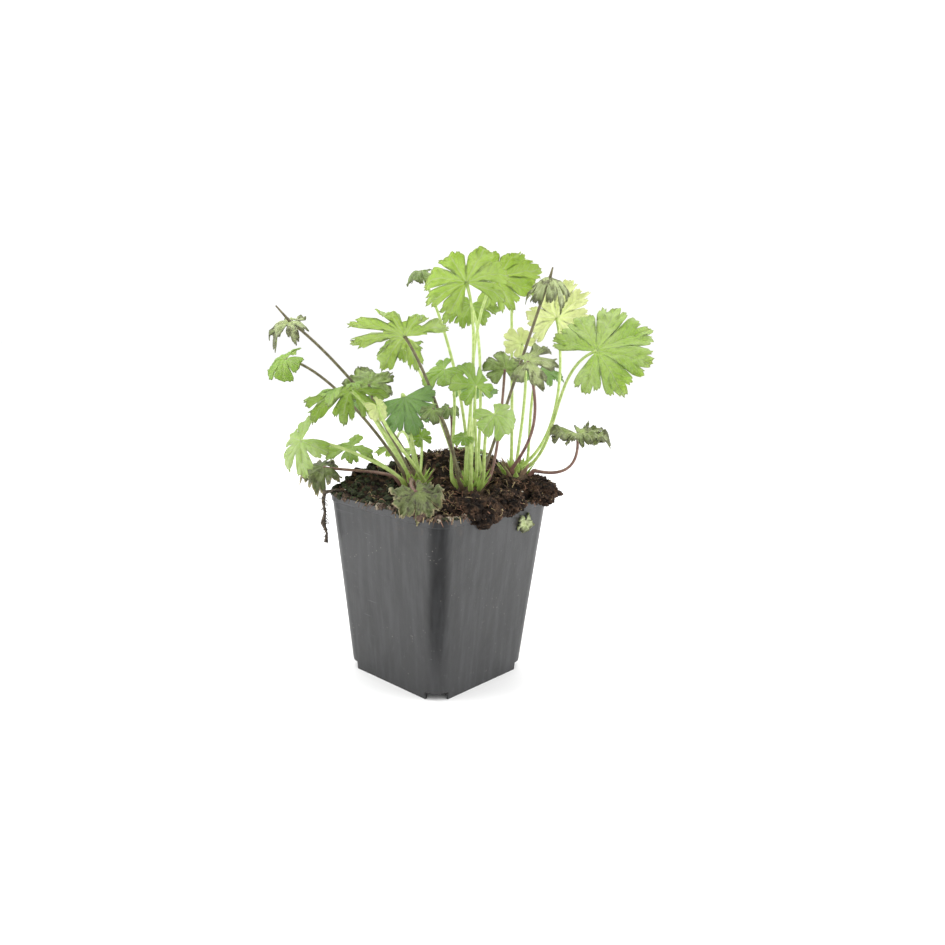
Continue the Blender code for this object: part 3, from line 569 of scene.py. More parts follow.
def bark_finish(name, dark, light, scale=700.0, depth=0.25 * MM, roughness=0.85):
    """Rough stuff in two colours: fibres, flecks, moss, hairs, roots, rootstocks' skin."""
    skin = Finish(name, dark)
    skin.paint(skin.patches(scale, 5, 0.34, 0.68, roughness=0.65), light)
    skin.dent(skin.noise(scale * 2, 5, 0.7), depth)
    return skin.done({"Roughness": roughness})


# Meshes


def new_object(name, data):
    made = bpy.data.objects.new(name, data)
    bpy.context.scene.collection.objects.link(made)
    return made


def piece(name, bodies, finishes, slot, node=None, places=None, smooth=True):
    """A finished object of the part, standing for its node.

    Each body is its points and its faces, and then the number of its finish, or
    one number for each face, where that isn't the first. places says where each
    point lies on a leaf.
    """
    points, faces, picks = [], [], []
    for body_points, body_faces, *pick in bodies:
        start = len(points)
        points += body_points
        faces += [tuple(start + corner for corner in face) for face in body_faces]
        pick = pick[0] if pick else 0
        picks += pick if isinstance(pick, list) else [pick] * len(body_faces)
    mesh = bpy.data.meshes.new(name)
    mesh.from_pydata(points, [], faces)
    for finish in finishes:
        mesh.materials.append(finish)
    mesh.polygons.foreach_set("material_index", picks)
    if places:
        spots = mesh.attributes.new("leaf_place", "FLOAT_VECTOR", "POINT")
        spots.data.foreach_set("vector", [number for place in places for number in place])
    if smooth:
        mesh.shade_smooth()
    settle(new_object(name, mesh), slot, node)


def settle(made, slot, node=None):
    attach(made, BODY)
    if node:
        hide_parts(node)


def combine(target, others, operation):
    """Join others to target, or cut them out of it, and remove them."""
    group = bpy.data.collections.new("others")
    bpy.context.scene.collection.children.link(group)
    for other in others:
        group.objects.link(other)
    step = target.modifiers.new("combine", "BOOLEAN")
    step.operation = operation
    step.operand_type = "COLLECTION"
    step.collection = group
    step.solver = "EXACT"
    view = bpy.context.evaluated_depsgraph_get()
    result = bpy.data.meshes.new_from_object(target.evaluated_get(view))
    target.modifiers.clear()
    target.data = result
    for other in others:
        bpy.data.objects.remove(other)
    bpy.data.collections.remove(group)


def loft_body(rings):
    """A body through rings of as many points each, capped at both ends."""
    count = len(rings[0])
    end = count * (len(rings) - 1)
    faces = [tuple(reversed(range(count))), tuple(range(end, end + count))]
    for base in range(0, end, count):
        for index in range(count):
            after = (index + 1) % count
            faces.append((base + index, base + after, base + count + after,
                          base + count + index))
    return [point for ring in rings for point in ring], faces


def loft(name, rings):
    points, faces = loft_body(rings)
    mesh = bpy.data.meshes.new(name)
    mesh.from_pydata(points, [], faces)
    shape = bmesh.new()
    shape.from_mesh(mesh)
    bmesh.ops.recalc_face_normals(shape, faces=shape.faces)
    shape.to_mesh(mesh)
    shape.free()
    return new_object(name, mesh)


def tube_rings(path, radii, sides):
    """Rings of a round bar along a path, with a radius at each of its points."""
    across = (path[1] - path[0]).orthogonal().normalized()
    rings = []
    for index, point in enumerate(path):
        before = path[max(index - 1, 0)]
        after = path[min(index + 1, len(path) - 1)]
        way = (after - before).normalized()
        across = (across - way * across.dot(way)).normalized()
        beside = way.cross(across)
        rings.append([point + (across * math.cos(math.tau * turn / sides)
                               + beside * math.sin(math.tau * turn / sides)) * radii[index]
                      for turn in range(sides)])
    return rings


def bar(path, radii, sides):
    return loft_body(tube_rings(path, radii, sides))


def bezier(start, first, second, end, steps):
    points = []
    for index in range(1, steps + 1):
        part = index / steps
        rest = 1 - part
        points.append(start * rest ** 3 + first * 3 * rest ** 2 * part
                      + second * 3 * rest * part ** 2 + end * part ** 3)
    return points


def eased(table, place):
    """Height of a table of (place, height) at a place, rounded over at each row."""
    for (low, before), (high, after) in zip(table, table[1:]):
        if place <= high:
            part = (place - low) / (high - low)
            return before + (after - before) * (1 - math.cos(math.pi * part)) / 2
    return table[-1][1]


# The pot


def rounded_square(half, corner, height):
    """One ring of the pot: a square with round corners and points along its sides."""
    ring = []
    for quarter in range(4):
        middle = math.radians(90) * (quarter + 0.5)
        reach = (half - corner) * math.sqrt(2)
        centre = Vector((reach * math.cos(middle), reach * math.sin(middle), height))
        for step in range(CORNER_STEPS + 1):
            angle = math.radians(90) * (quarter + step / CORNER_STEPS)
            ring.append(centre + corner * Vector((math.cos(angle), math.sin(angle), 0)))
        following = math.radians(90) * (quarter + 1.5)
        side_end = Vector((reach * math.cos(following), reach * math.sin(following), height))
        side_end += corner * Vector((math.cos(angle), math.sin(angle), 0))
        for step in range(1, SIDE_STEPS):
            ring.append(ring[-step].lerp(side_end, step / SIDE_STEPS))
    return ring


def pot_ring(height, offset):
    """The pot's outline at a height, moved out by an offset."""
    part = height / POT_HEIGHT
    half = (POT_BASE + (POT_TOP - POT_BASE) * part) / 2 - LIP_OUT + offset
    corner = BASE_CORNER + (TOP_CORNER - BASE_CORNER) * part + offset
    return rounded_square(half, corner, height)


def drum(name, radius, low, high, place=(0, 0), sides=64):
    ring = [Vector((place[0] + radius * math.cos(math.tau * index / sides),
                    place[1] + radius * math.sin(math.tau * index / sides), 0))
            for index in range(sides)]
    return loft(name, [[point + Vector((0, 0, level)) for point in ring]
                       for level in (low, high)])


def make_pot():
    lip_low = POT_HEIGHT - LIP_HEIGHT
    pot = loft("square_pot", [pot_ring(0, 0), pot_ring(lip_low, 0),
                              pot_ring(lip_low + LIP_OUT, LIP_OUT), pot_ring(POT_HEIGHT, LIP_OUT)])
    floor_top = FLOOR_RISE + FLOOR_THICK
    recess = loft("recess", [pot_ring(-MM, -POT_WALL), pot_ring(FLOOR_RISE, -POT_WALL)])
    combine(recess, [drum("foot", DISH_RADIUS, -2 * MM, FLOOR_RISE + MM)], "DIFFERENCE")
    cutters = [loft("hollow", [pot_ring(floor_top, -POT_WALL),
                               pot_ring(POT_HEIGHT + MM, -POT_WALL)]),
               drum("dish", DISH_RADIUS - POT_WALL, FLOOR_THICK, floor_top + MM), recess]
    middle = (POT_BASE / 2 - BASE_CORNER) + BASE_CORNER / 2
    for right in (-1, 1):
        for away in (-1, 1):
            cutters.append(loft("notch", [rounded_square(BASE_CORNER / 2 + MM, MM, level)
                                          for level in (-MM, NOTCH_HEIGHT)]))
            cutters[-1].data.transform(
                Matrix.Translation((right * (middle + MM), away * (middle + MM), 0)))
    for turn in range(4):
        angle = math.radians(90) * turn
        place = (DRAIN_AWAY * math.cos(angle), DRAIN_AWAY * math.sin(angle))
        cutters.append(drum("drain", DRAIN_RADIUS, -MM, floor_top + MM, place, 40))
    combine(pot, cutters, "DIFFERENCE")
    rounding = pot.modifiers.new("rounding", "BEVEL")
    rounding.width = EDGE_ROUND
    rounding.segments = 2
    rounding.limit_method = "ANGLE"
    rounding.angle_limit = math.radians(40)
    pot.data.materials.clear()
    pot.data.materials.append(pot_finish())
    pot.data.shade_smooth()
    pot.data.set_sharp_from_angle(angle=math.radians(50))
    settle(pot, "pot", "pot")


# The peat


def ground(right, away):
    """Height of the peat, in millimetres: its swells, level with the crowns round them."""
    height = PEAT_EDGE
    for top, middle, depth, reach_right, reach_away in SWELLS:
        height += top * math.exp(-((right - middle) / reach_right) ** 2
                                 - ((away - depth) / reach_away) ** 2)
    for crown_right, crown_away, crown_up in CROWNS.values():
        distance = math.hypot(right - crown_right, away - crown_away)
        near = math.exp(-(distance / HOLLOW) ** 4)
        height = height * (1 - near) + (crown_up - PROUD) * near
    return height + PEAT_ROUGH * noise.noise(Vector((right / 5, away / 5, 4.2)))


def crumbly(right, away):
    """The same with its crumbs: finer lumps on the low ones."""
    spot = Vector((right, away, 0))
    lumps = sum(height * noise.noise(spot / width) for height, width in CRUMB_WAVES)
    return ground(right, away) + lumps


def on_lump(middle, sizes, way, swell=1):
    return [middle[axis] + way[axis] * sizes[axis] * swell for axis in range(3)]


def lump(middle, sizes, seed, splits, rough):
    """A rough lump, from its middle and half sizes in millimetres."""
    shape = bmesh.new()
    bmesh.ops.create_icosphere(shape, subdivisions=splits, radius=1)
    points = []
    for corner in shape.verts:
        swell = sum((rough * share * noise.noise(corner.co * fineness + Vector(move) * seed)
                     for share, fineness, move in LUMP_WAVES), 1)
        points.append(picture(*on_lump(middle, sizes, corner.co, swell)))
    faces = [tuple(corner.index for corner in face.verts) for face in shape.faces]
    shape.free()
    return points, faces


def crumb(draw, middle, sizes, rough):
    return lump(middle, sizes, draw.uniform(0, 90), CRUMB_SPLITS, rough)


def uneven(draw, size, least=0.7, most=1.3):
    """Three half sizes about a size."""
    return [size * draw.uniform(least, most) for _ in range(3)]


def scatter(draw, spread=1):
    """A random vector that favours no direction."""
    return Vector([draw.gauss(0, spread) for _ in range(3)])


def make_soil():
    """The peat's top, its sides down in the pot, and the clods over the rim."""
    inside = -POT_WALL - PEAT_GAP
    rings = [pot_ring(FLOOR_RISE + FLOOR_THICK + PEAT_GAP, inside), pot_ring(PEAT_SIDE, inside)]
    rim = pot_ring(PEAT_RIM, inside - PEAT_GAP)
    for level in range(PEAT_RINGS):
        share = 1 - level / PEAT_RINGS
        ring = [Vector((point.x * share, point.y * share, 0)) for point in rim]
        for place in ring:
            place.z = crumbly(*seen(place)) * MM
        rings.append(ring)
    clods = [lump(middle, sizes, 1.5 + 3 * number, CLOD_SPLITS, 0.36)
             for number, (middle, sizes) in enumerate(CLODS)]
    piece("peat", [loft_body(rings), *clods], [peat_finish("peat")], "peat", "soil")


def peat_top(draw):
    """A random place on the peat, as right, away and up in millimetres."""
    half = (POT_TOP / 2 - POT_WALL) / MM - PEAT_MARGIN
    spot = Vector((draw.uniform(-half, half), draw.uniform(-half, half), 0)) * MM
    right, away = seen(spot)
    return right, away, crumbly(right, away)


def make_crumbs():
    draw = random.Random(11)
    bodies = []
    for _ in range(CRUMBS):
        right, away, up = peat_top(draw)
        size = draw.uniform(0.5, 1.0) + 1.3 * draw.random() ** 4
        bodies.append(crumb(draw, (right, away, up + 0.3 * size), uneven(draw, size), 0.5))
    for middle, sizes in CLODS:
        for _ in range(CLOD_CRUMBS):
            spot = on_lump(middle, sizes, scatter(draw).normalized())
            size = draw.uniform(0.4, 0.9) + 1.1 * draw.random() ** 3
            bodies.append(crumb(draw, spot, uneven(draw, size), 0.5))
    piece("peat_crumbs", bodies, [peat_finish("peat crumbs")], "peat", smooth=False)


def make_flecks():
    """Chips of bark and pale grains on the peat."""
    draw = random.Random(5)
    bodies = []
    for number in range(FLECKS):
        right, away, up = peat_top(draw)
        if right < BARE and draw.random() < 0.6:
            continue
        pale = number % 4 == 0
        size = draw.uniform(0.4, 0.7) if pale else draw.uniform(0.6, 1.4)
        sizes = [size * draw.uniform(0.8, 1.5), size * draw.uniform(0.5, 1.0), size * 0.5]
        bodies.append((*crumb(draw, (right, away, up + 0.5), sizes, 0.35), int(pale)))
    finishes = [bark_finish("bark chips", (0.13, 0.070, 0.042), (0.27, 0.16, 0.10)),
                bark_finish("pale grains", (0.42, 0.38, 0.32), (0.66, 0.62, 0.55))]
    piece("peat_flecks", bodies, finishes, "peat", smooth=False)


def make_fibres():
    """Brown and straw-coloured fibres on the peat, on its clods and over the rim."""
    draw = random.Random(23)
    steps = range(FIBRE_STEPS + 1)
    paths = []
    for _ in range(FIBRES):
        right, away, up = peat_top(draw)
        if right < BARE and draw.random() < 0.7:
            continue
        turn = draw.uniform(0, math.tau)
        length = draw.uniform(3, 10)
        path = []
        for step in steps:
            part = step / FIBRE_STEPS - 0.5
            turn += draw.uniform(-0.35, 0.35)
            spot = (right + math.cos(turn) * length * part, away + math.sin(turn) * length * part)
            path.append((*spot, max(crumbly(*spot), up - 1.5) + 0.5 + 0.9 * math.cos(3 * part)))
        paths.append(path)
    for middle, sizes in CLODS:
        for _ in range(CLOD_FIBRES):
            way = scatter(draw).normalized()
            turn = scatter(draw).normalized()
            bend = draw.uniform(0.05, 0.14)
            path = []
            for step in steps:
                way = (way + turn.cross(way) * bend).normalized()
                turn = (turn + scatter(draw, 0.3)).normalized()
                path.append(on_lump(middle, sizes, way, 1.03 + 0.06 * math.sin(step)))
            paths.append(path)
    for right, away in rim_spots(draw, RIM_FIBRES):
        way = Vector((draw.uniform(-1, 1), -0.8, 0)).normalized()
        length = draw.uniform(2.0, 4.5)
        top = POT_HEIGHT / MM + draw.uniform(0.6, 1.6)
        paths.append([(right + way.x * length * step / FIBRE_STEPS,
                       away + way.y * length * step / FIBRE_STEPS,
                       top - length * 0.7 * (step / FIBRE_STEPS) ** 2) for step in steps])
    bodies = []
    for number, path in enumerate(paths):
        radius = draw.uniform(0.10, 0.26) * MM
        radii = [radius * (1 - 0.7 * abs(step / FIBRE_STEPS - 0.5)) for step in steps]
        path = [picture(*point) for point in path]
        bodies.append((*bar(path, radii, FIBRE_SIDES), number % 3))
    finishes = [bark_finish("red fibres", (0.15, 0.072, 0.045), (0.33, 0.18, 0.11)),
                bark_finish("brown fibres", (0.060, 0.036, 0.025), (0.16, 0.095, 0.060)),
                bark_finish("straw fibres", (0.24, 0.17, 0.085), (0.46, 0.36, 0.19))]
    piece("peat_fibres", bodies, finishes, "peat")


def rim_spots(draw, count):
    """Random places on the pot's rim along its two front sides, as right and away."""
    ring = pot_ring(POT_HEIGHT, -0.4 * MM)
    sides = [(first, second) for first, second in zip(ring, ring[1:] + ring[:1])
             if seen(first)[1] < FRONT]
    lengths = [(second - first).length for first, second in sides]
    spots = []
    for first, second in draw.choices(sides, lengths, k=count):
        spots.append(seen(first.lerp(second, draw.random())))
    return spots



def make_moss():
    """Dark moss on the peat's left side, and dry litter and moss along the front rim."""
    draw = random.Random(41)
    bodies = []
    for _ in range(MOSS):
        right, away, up = peat_top(draw)
        if right > draw.gauss(BARE, 9):
            continue
        size = draw.uniform(0.7, 1.5)
        sizes = [size * draw.uniform(0.8, 1.5) for _ in range(2)] + [size * 1.1]
        bodies.append(crumb(draw, (right, away, up + 0.5 * size), sizes, 0.9))
    for right, away in rim_spots(draw, RIM_LITTER):
        size = draw.uniform(0.5, 1.1) + 0.8 * draw.random() ** 3
        sizes = uneven(draw, size, 0.7, 1.4)
        spot = (right, away + draw.uniform(-0.6, 2.0), POT_HEIGHT / MM + 0.2)
        bodies.append((*crumb(draw, spot, sizes, 0.9), draw.choice((0, 0, 1, 1, 2))))
    finishes = [bark_finish("moss", (0.009, 0.011, 0.005), (0.046, 0.060, 0.016), 900.0, 0.5 * MM),
                bark_finish("rim peat", (0.030, 0.020, 0.014), (0.13, 0.080, 0.052), 900.0),
                bark_finish("dry litter", (0.15, 0.12, 0.085), (0.38, 0.33, 0.26), 900.0)]
    piece("peat_moss", bodies, finishes, "peat", smooth=False)


# The crowns and the leaves


def seat_of(crown, seat):
    """Foot of a petiole in its crown, and the way that it leaves it."""
    ring, angle = 0, 0
    if 1 <= seat <= INNER_SEATS:
        ring, angle = INNER_RING, math.tau * (seat - 1) / INNER_SEATS
    elif seat > INNER_SEATS:
        ring, angle = OUTER_RING, math.tau * (seat - INNER_SEATS - 0.5) / OUTER_SEATS
    across = picture(math.cos(angle), math.sin(angle), 0) / MM
    outward = (across * ring + Vector((0, 0, FAN_DEPTH))).normalized()
    return picture(*CROWNS[crown]) + across * ring, outward


def make_crown(name, finishes):
    """A rootstock under the stipules that sheathe the petioles' feet."""
    draw = random.Random(name)
    middle = picture(*CROWNS[name])
    rings = []
    for radius, height in CROWN_PROFILE:
        ring = []
        for index in range(CROWN_SIDES):
            angle = math.tau * index / CROWN_SIDES
            across = Vector((math.cos(angle), math.sin(angle), 0))
            rough = 1 + 0.05 * noise.noise(across * 3 + Vector((0, 0, height)))
            ring.append(middle + across * radius * MM * rough + Vector((0, 0, height * MM)))
        rings.append(ring)
    bodies = [loft_body(rings)]
    for number in range(STIPULES):
        angle = draw.uniform(0, math.tau)
        ring = draw.uniform(2.0, CROWN_PROFILE[3][0])
        brown = number % 6 == 0 if name == "centre" else number % 2
        bodies.append((*stipule(middle, angle, ring, draw), 1 + int(brown)))
    piece(f"rootstock_{name}", bodies, finishes, "crown", f"crown_{name}")


def stipule(middle, angle, ring, draw):
    """One thin pointed scale that leans out at the foot of the petioles."""
    out = Vector((math.cos(angle), math.sin(angle), 0))
    aside = Vector((-math.sin(angle), math.cos(angle), 0))
    height = draw.uniform(5.0, 10.5)
    width = draw.uniform(1.4, 2.6)
    lean = 0.10 + 0.45 * ring / CROWN_PROFILE[3][0]
    rows = []
    for level in range(STIPULE_ROWS + 1):
        part = level / STIPULE_ROWS
        half = width * (1 - part ** 2.2) * (0.85 + 0.15 * math.cos(2 * part)) + 0.05
        spine = out * (ring + lean * height * part + 0.8 * part ** 2)
        spine += Vector((0, 0, 0.5 + height * part))
        row = []
        for step in range(STIPULE_STEPS + 1):
            side = 2 * step / STIPULE_STEPS - 1
            row.append(spine + aside * half * side - out * 0.5 * half * side ** 2)
        rows.append(row)
    outer = [middle + point * MM for row in rows for point in row]
    inner = [point - out * STIPULE_THICK for point in outer]
    return sheet_body(outer, inner, STIPULE_STEPS + 1)


def squares(count, width):
    """Corners of the squares between count points that lie in rows of width points."""
    for base in range(0, count - width, width):
        for corner in range(base, base + width - 1):
            yield corner, corner + 1, corner + width + 1, corner + width


def sheet_body(upper, under, width):
    """A thin closed sheet from two layers of rows of width points."""
    count = len(upper)
    faces = []
    for square in squares(count, width):
        faces += [square, tuple(count + corner for corner in reversed(square))]
    border = list(range(width)) + list(range(2 * width - 1, count, width))
    border += list(range(count - 2, count - width - 1, -1))
    border += list(range(count - 2 * width, 0, -width))
    for first, second in zip(border, border[1:] + border[:1]):
        faces.append((second, first, first + count, second + count))
    return upper + under, faces


def blade_axes(row):
    """Side, tip and face of a blade, as unit vectors square to each other."""
    face = heading(*row.face)
    tip = heading(*row.tip)
    tip = (tip - face * tip.dot(face)).normalized()
    return tip.cross(face), tip, face


def petiole_path(row):
    """From the socket's floor, straight out of it, then in a curve to the hub."""
    foot, outward = seat_of(row.crown, row.seat)
    foot = foot + outward * PEAT_GAP
    start = foot + outward * STRAIGHT
    hub = picture(*row.hub)
    _, tip, face = blade_axes(row)
    arrive = (tip * math.cos(row.arrive) + face * math.sin(row.arrive)).normalized()
    span = (hub - start).length
    first = start + outward * span * LEAVE
    second = hub - arrive * span * ARRIVE
    if row.bow:
        first, second = picture(*row.bow[0]), picture(*row.bow[1])
    return [foot, foot.lerp(start, 0.5), start] + bezier(start, first, second, hub, PETIOLE_STEPS)


def petiole(row):
    """Rings of the stalk, stouter at its sheathing foot and swollen a little at the hub."""
    path = petiole_path(row)
    radii = []
    for index in range(len(path)):
        part = index / (len(path) - 1)
        radius = PETIOLE_BASE + (PETIOLE_TIP - PETIOLE_BASE) * part
        radius += 0.55 * MM * math.exp(-(part / 0.10) ** 2)
        radius += 0.25 * MM * math.exp(-((1 - part) / 0.035) ** 2)
        radii.append(radius)
    return tube_rings(path, radii, PETIOLE_SIDES)


def make_hairs():
    """Fine pale hairs that stand out from the petioles and lean back a little."""
    draw = random.Random(17)
    bodies = []
    for row in LEAVES.values():
        path = petiole_path(row)
        for _ in range(STALK_HAIRS):
            place = draw.uniform(*HAIR_STRETCH) * (len(path) - 1)
            index = int(place)
            way = (path[index + 1] - path[index]).normalized()
            out = scatter(draw)
            out = (out - way * out.dot(way)).normalized()
            aside = way.cross(out)
            root = path[index].lerp(path[index + 1], place - index) + out * HAIR_ROOT
            ring = [root + (way * math.cos(turn) + aside * math.sin(turn)) * HAIR_RADIUS
                    for turn in (0, math.tau / 3, -math.tau / 3)]
            tip = root + (out - way * 0.3) * draw.uniform(*HAIR_LENGTHS)
            bodies.append((ring + [tip], [(0, 1, 2), (1, 0, 3), (2, 1, 3), (0, 2, 3)]))
    finish = bark_finish("hairs", (0.46, 0.52, 0.32), (0.70, 0.74, 0.56), roughness=0.6)
    piece("stalk_hairs", bodies, [finish], "leaf_fresh")


def bent(row, angle, share):
    """Place of a point of the flat blade once the blade is bent, in its own axes."""
    radius = row.radius * MM
    phase = row.hub[0] + row.hub[2]
    droop = row.droop * (1 + 0.25 * math.sin(2 * angle + phase))
    if abs(droop) < 0.05:
        droop = 0.05
    cone = row.cone
    out = radius / droop * (math.sin(cone) - math.sin(cone - droop * share))
    lift = radius / droop * (math.cos(cone - droop * share) - math.cos(cone))
    lift += radius * row.wave * share ** 2 * math.sin(row.folds * angle + phase)
    half = row.spread / (2 * row.lobes)
    off_rib = abs((angle + row.spread / 2) / half % 2 - 1)
    lift += radius * row.fold * share * off_rib
    return Vector((out * math.sin(angle), out * math.cos(angle), lift))


def quilt(across, along, share):
    """Lift in metres of the skin: sunk along the veins, puffed between them."""
    run = along - RIB_SLANT * across
    beside = abs((run / RIB_SPACING + 0.5) % 1 - 0.5) * 2
    puff = PUFF * (beside - 0.5) * min(1, across / 1.5) * min(1, along / 4)
    rib = -RIB_SINK * math.exp(-(across / 0.6) ** 2)
    return (puff + rib) * min(1, share * 3)


def blade_columns(row):
    """Angle, length of the edge and distance from the rib at each column of the blade."""
    table = NOTCHED_LOBE if row.radius >= NOTCHED_FROM else PLAIN_LOBE
    half = row.spread / (2 * row.lobes)
    seed = row.hub[0] * 0.37
    columns = []
    for lobe in range(row.lobes):
        angle = -row.spread / 2 + half * (2 * lobe + 1)
        length = 1 - OUTER_LOBES * (2 * abs(angle) / row.spread) ** 2
        for step in range(LOBE_SAMPLES):
            share = 2 * step / LOBE_SAMPLES - 1
            inside = max(-1, min(1, share / row.narrow))
            uneven = noise.noise(Vector((angle + share * half, seed, lobe)) * 3)
            ragged = 1 + RAGGED.get(row.tone, 0.06) * (uneven - 0.2)
            reach = SLIT + (eased(table, inside) * length * ragged - SLIT) * (abs(inside) < 1)
            columns.append((angle + share * half, reach, abs(share) * half))
    columns.append((row.spread / 2, SLIT, half))
    return columns


def blade(row):
    """The points of the lobed blade, with its skin quilted between the veins, and where each lies on
    the leaf.
    """
    radius = row.radius
    side, tip, face = blade_axes(row)
    hub = picture(*row.hub)
    crumple = CRUMPLED.get(row.tone, 1.0)
    ruffle = RUFFLED.get(row.tone, 1.0)
    half = row.spread / (2 * row.lobes)
    upper, places = [], []
    for angle, reach, beside in blade_columns(row):
        for ring in range(BLADE_RINGS + 1):
            part = ring / BLADE_RINGS
            part = HUB_SHARE + (1 - HUB_SHARE) * part ** 0.85
            share = reach * part
            across, along = beside * share * radius, share * radius
            place = bent(row, angle, share)
            lift = place.z + quilt(across, along, share)
            spot = Vector((place.x * CRINKLE_SCALE, place.y * CRINKLE_SCALE, radius))
            folds = noise.noise(spot) + 0.5 * noise.noise(spot * 2.3)
            folds += FINE_FOLDS.get(row.tone, 0.0) * noise.noise(spot * 5.1)
            lift += folds * crumple * CRINKLE * radius * MM * share
            curl = math.sin(angle * RUFFLES + share * RUFFLE_DRIFT + radius)
            curl -= LOBE_CURL * (beside / half) ** 2
            lift += curl * ruffle * RUFFLE * radius * MM * share ** 2
            upper.append(hub + side * place.x + tip * place.y + face * lift)
            places.append((across, along, ring / BLADE_RINGS))
    return upper, places


def make_leaf(name, row, finishes):
    """A blade, its stalk and the dead tip on its hub, as far as it has them."""
    upper, places = blade(row)
    width = BLADE_RINGS + 1
    normals = sheet_normals(upper, width)
    half = THICKNESS / 2
    top = [point + normal * half for point, normal in zip(upper, normals)]
    under = [point - normal * half for point, normal in zip(upper, normals)]
    points, faces = sheet_body(top, under, width)
    picks = [0 if all(corner < len(top) for corner in face) else 1 for face in faces]
    bodies = [(points, faces, picks)]
    places = places * 2
    if row.crown:
        rings = petiole(row)
        bodies.append((*loft_body(rings), 2))
        for level in range(len(rings)):
            places += [(0.0, 0.0, level / (len(rings) - 1))] * PETIOLE_SIDES
    if row.spike:
        _, tip, face = blade_axes(row)
        way = (face + tip * 0.6).normalized()
        path = [picture(*row.hub) + way * row.spike * MM * step / (SPIKE_STEPS - 1)
                for step in range(-1, SPIKE_STEPS)]
        radii = [(0.9 - 0.07 * step) * MM for step in range(len(path))]
        bodies.append((*bar(path, radii, SPIKE_SIDES), 2))
        places += [(0.0, 0.0, 1.0)] * (SPIKE_SIDES * len(path))
    piece(f"{name}_skin", bodies, finishes, f"leaf_{row.tone}", name, places)


def sheet_normals(points, width):
    """Mean normal at each point of rows of width points."""
    normals = [Vector() for _ in points]
    for corners in squares(len(points), width):
        first = points[corners[2]] - points[corners[0]]
        second = points[corners[3]] - points[corners[1]]
        normal = second.cross(first)
        for corner in corners:
            normals[corner] += normal
    return [normal.normalized() for normal in normals]


def make_leaves():
    """Every leaf, with the skin of its tone and the stalk that the photograph shows."""
    stalks = {
        "green": stalk_finish("green stalk", (0.33, 0.46, 0.11), (0.50, 0.60, 0.22),
                              (0.36, 0.50, 0.10)),
        "olive": stalk_finish("olive stalk", (0.105, 0.088, 0.048), (0.19, 0.165, 0.085),
                              (0.14, 0.085, 0.060)),
        "rosy": stalk_finish("rosy stalk", (0.155, 0.075, 0.065), (0.26, 0.155, 0.115),
                             (0.21, 0.105, 0.085)),
    }
    skins = {}
    for tone, sides in SKINS.items():
        blotched = BLOTCHED.get(tone, 0.0)
        skins[tone] = [leaf_finish(f"{tone} leaf {name}", *side, RIMS[tone], raised, blotched)
                       for name, side, raised in zip(("top", "underside"), sides, (False, True))]
    for name, row in LEAVES.items():
        skin = skins[SKIN_OF.get(name, row.tone)]
        make_leaf(name, row, skin + [stalks[STALKS.get(name, "green")]])
    return skins



def make_scrap(skins):
    """A dry scrap of leaf that clings to the right face of the pot."""
    lean = math.atan((POT_TOP - POT_BASE) / 2 / POT_HEIGHT)
    half = (POT_BASE + (POT_TOP - POT_BASE) * SCRAP_UP * MM / POT_HEIGHT) / 2 / MM
    right, away = seen(Vector((half, SCRAP_ALONG, 0)) * MM)
    out, aside = seen(Vector((math.cos(lean), 0, 0)) * MM)
    row = leaf(None, 0, (right + SCRAP_OUT * out, away + SCRAP_OUT * aside, SCRAP_UP), 7,
               (0, 0, -1), (out, aside, -math.sin(lean)), "dry", 5, 0.0, 0.0, 0.05, 3, 0.1)
    make_leaf("leaf_scrap", row, skins["mottled"])


def make_root():
    """The dry strand of root over the left corner, with rootlets off it."""
    draw = random.Random(3)
    path = [picture(*point) for point in ROOT_PATH]
    radii = [(1.0 + 0.45 * math.sin(2.4 * index)) * MM for index in range(len(path))]
    bodies = [bar(path, radii, ROOT_SIDES)]
    for number in range(ROOTLETS):
        way = Vector((draw.uniform(-1, 1), draw.uniform(-1, 1), draw.uniform(-1.4, 0.2)))
        spots = [path[3].lerp(path[-1], number / ROOTLETS)]
        for _ in range(ROOTLET_STEPS):
            way += Vector([draw.uniform(-0.5, 0.5) for _ in range(3)])
            spots.append(spots[-1] + way.normalized() * 0.7 * MM)
        radii = [0.22 * MM * (1 - 0.12 * step) for step in range(ROOTLET_STEPS + 1)]
        bodies.append(bar(spots, radii, ROOTLET_SIDES))
    finish = bark_finish("dry root", (0.030, 0.022, 0.016), (0.13, 0.10, 0.070))
    piece("root_fibres", bodies, [finish], "dry_root", "root_strand")


# The stage and the camera


def stage_sheet(name, points, faces, finish_name, inputs):
    """A sheet of the stage, with the numbers of its shader by the names of their sockets."""
    mesh = bpy.data.meshes.new(name)
    mesh.from_pydata(points, [], faces)
    finish = Finish(finish_name)
    finish.fill(finish.shader, inputs)
    mesh.materials.append(finish.material)
    made = new_object(name, mesh)
    return made


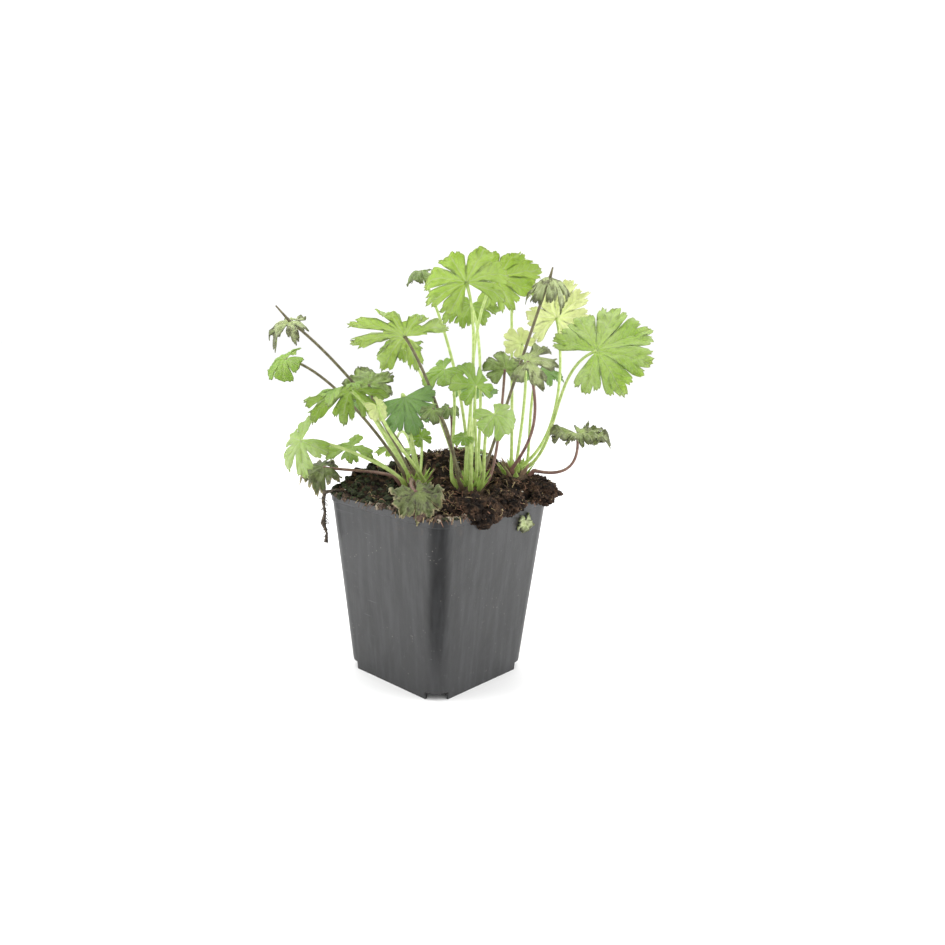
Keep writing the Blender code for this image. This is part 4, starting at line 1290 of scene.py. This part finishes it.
def make_stage():
    """A pale floor, a white sky, a dark card and soft lamps, none of them part of the plant."""
    corners = [(right * FLOOR_REACH, away * FLOOR_REACH, 0)
               for right, away in ((-1, -1), (1, -1), (1, 1), (-1, 1))]
    stage_sheet("floor", corners, [(0, 1, 2, 3)], "pale floor", {
        "Base Color": (0.94, 0.94, 0.94, 1), "Roughness": 0.6, "Specular IOR Level": 0.0})
    corners = [picture(side * half, away, up)
               for (half, away), up in ((CARD_NEAR, 1), (CARD_FAR, 1), (CARD_FAR, CARD_UP))
               for side in (-1, 1)]
    card = stage_sheet("dark_card", corners, [(0, 1, 3, 2), (2, 3, 5, 4)], "dark cloth", {
        "Base Color": (0.02, 0.02, 0.02, 1), "Roughness": 1.0})
    for rays in ("camera", "diffuse", "transmission", "shadow"):
        setattr(card, f"visible_{rays}", False)
    scene = bpy.context.scene
    scene.view_settings.view_transform = "Standard"
    scene.world = bpy.data.worlds.new("studio")
    scene.world.use_nodes = True
    background = scene.world.node_tree.nodes["Background"]
    background.inputs["Color"].default_value = (1, 1, 1, 1)
    background.inputs["Strength"].default_value = SKY
    for name, power, size, place in LAMPS:
        lamp = bpy.data.lights.new(name, "AREA")
        lamp.energy = power
        lamp.size = size
        made = new_object(name, lamp)
        made.location = picture(*place)
        aim = picture(AIM_RIGHT, 0, AIM_UP) - made.location
        made.rotation_euler = aim.to_track_quat("-Z", "Y").to_euler()


def make_camera():
    """The photograph's view, from the pot's front corner."""
    rise, roll = math.radians(CAMERA_RISE), math.radians(CAMERA_ROLL)
    back = Vector((0, -math.cos(rise), math.sin(rise)))
    right = Vector((1, 0, 0))
    up = back.cross(right)
    axes = [right * math.cos(roll) + up * math.sin(roll),
            up * math.cos(roll) - right * math.sin(roll), back]
    place = Vector((AIM_RIGHT, 0, AIM_UP)) + back * CAMERA_AWAY
    turned = Matrix([heading(*axis) for axis in axes]).transposed()
    lens = bpy.data.cameras.new("camera")
    lens.lens = CAMERA_LENS
    lens.sensor_width = 36
    lens.clip_start = 0.01
    camera = new_object("camera", lens)
    camera.matrix_world = Matrix.Translation(picture(*place)) @ turned.to_4x4()
    bpy.context.scene.camera = camera


def main():
    make_camera()
    make_stage()
    make_pot()
    make_soil()
    make_crumbs()
    make_flecks()
    make_fibres()
    make_moss()
    crown_skins = [bark_finish("rootstock", (0.045, 0.030, 0.020), (0.15, 0.10, 0.055)),
                   bark_finish("green stipules", (0.26, 0.42, 0.06), (0.46, 0.60, 0.17),
                               500.0, 0.1 * MM, 0.6),
                   bark_finish("brown stipules", (0.20, 0.13, 0.08), (0.36, 0.25, 0.16),
                               500.0, 0.1 * MM, 0.7)]
    for name in CROWNS:
        make_crown(name, crown_skins)
    make_scrap(make_leaves())
    make_hairs()
    make_root()


main()
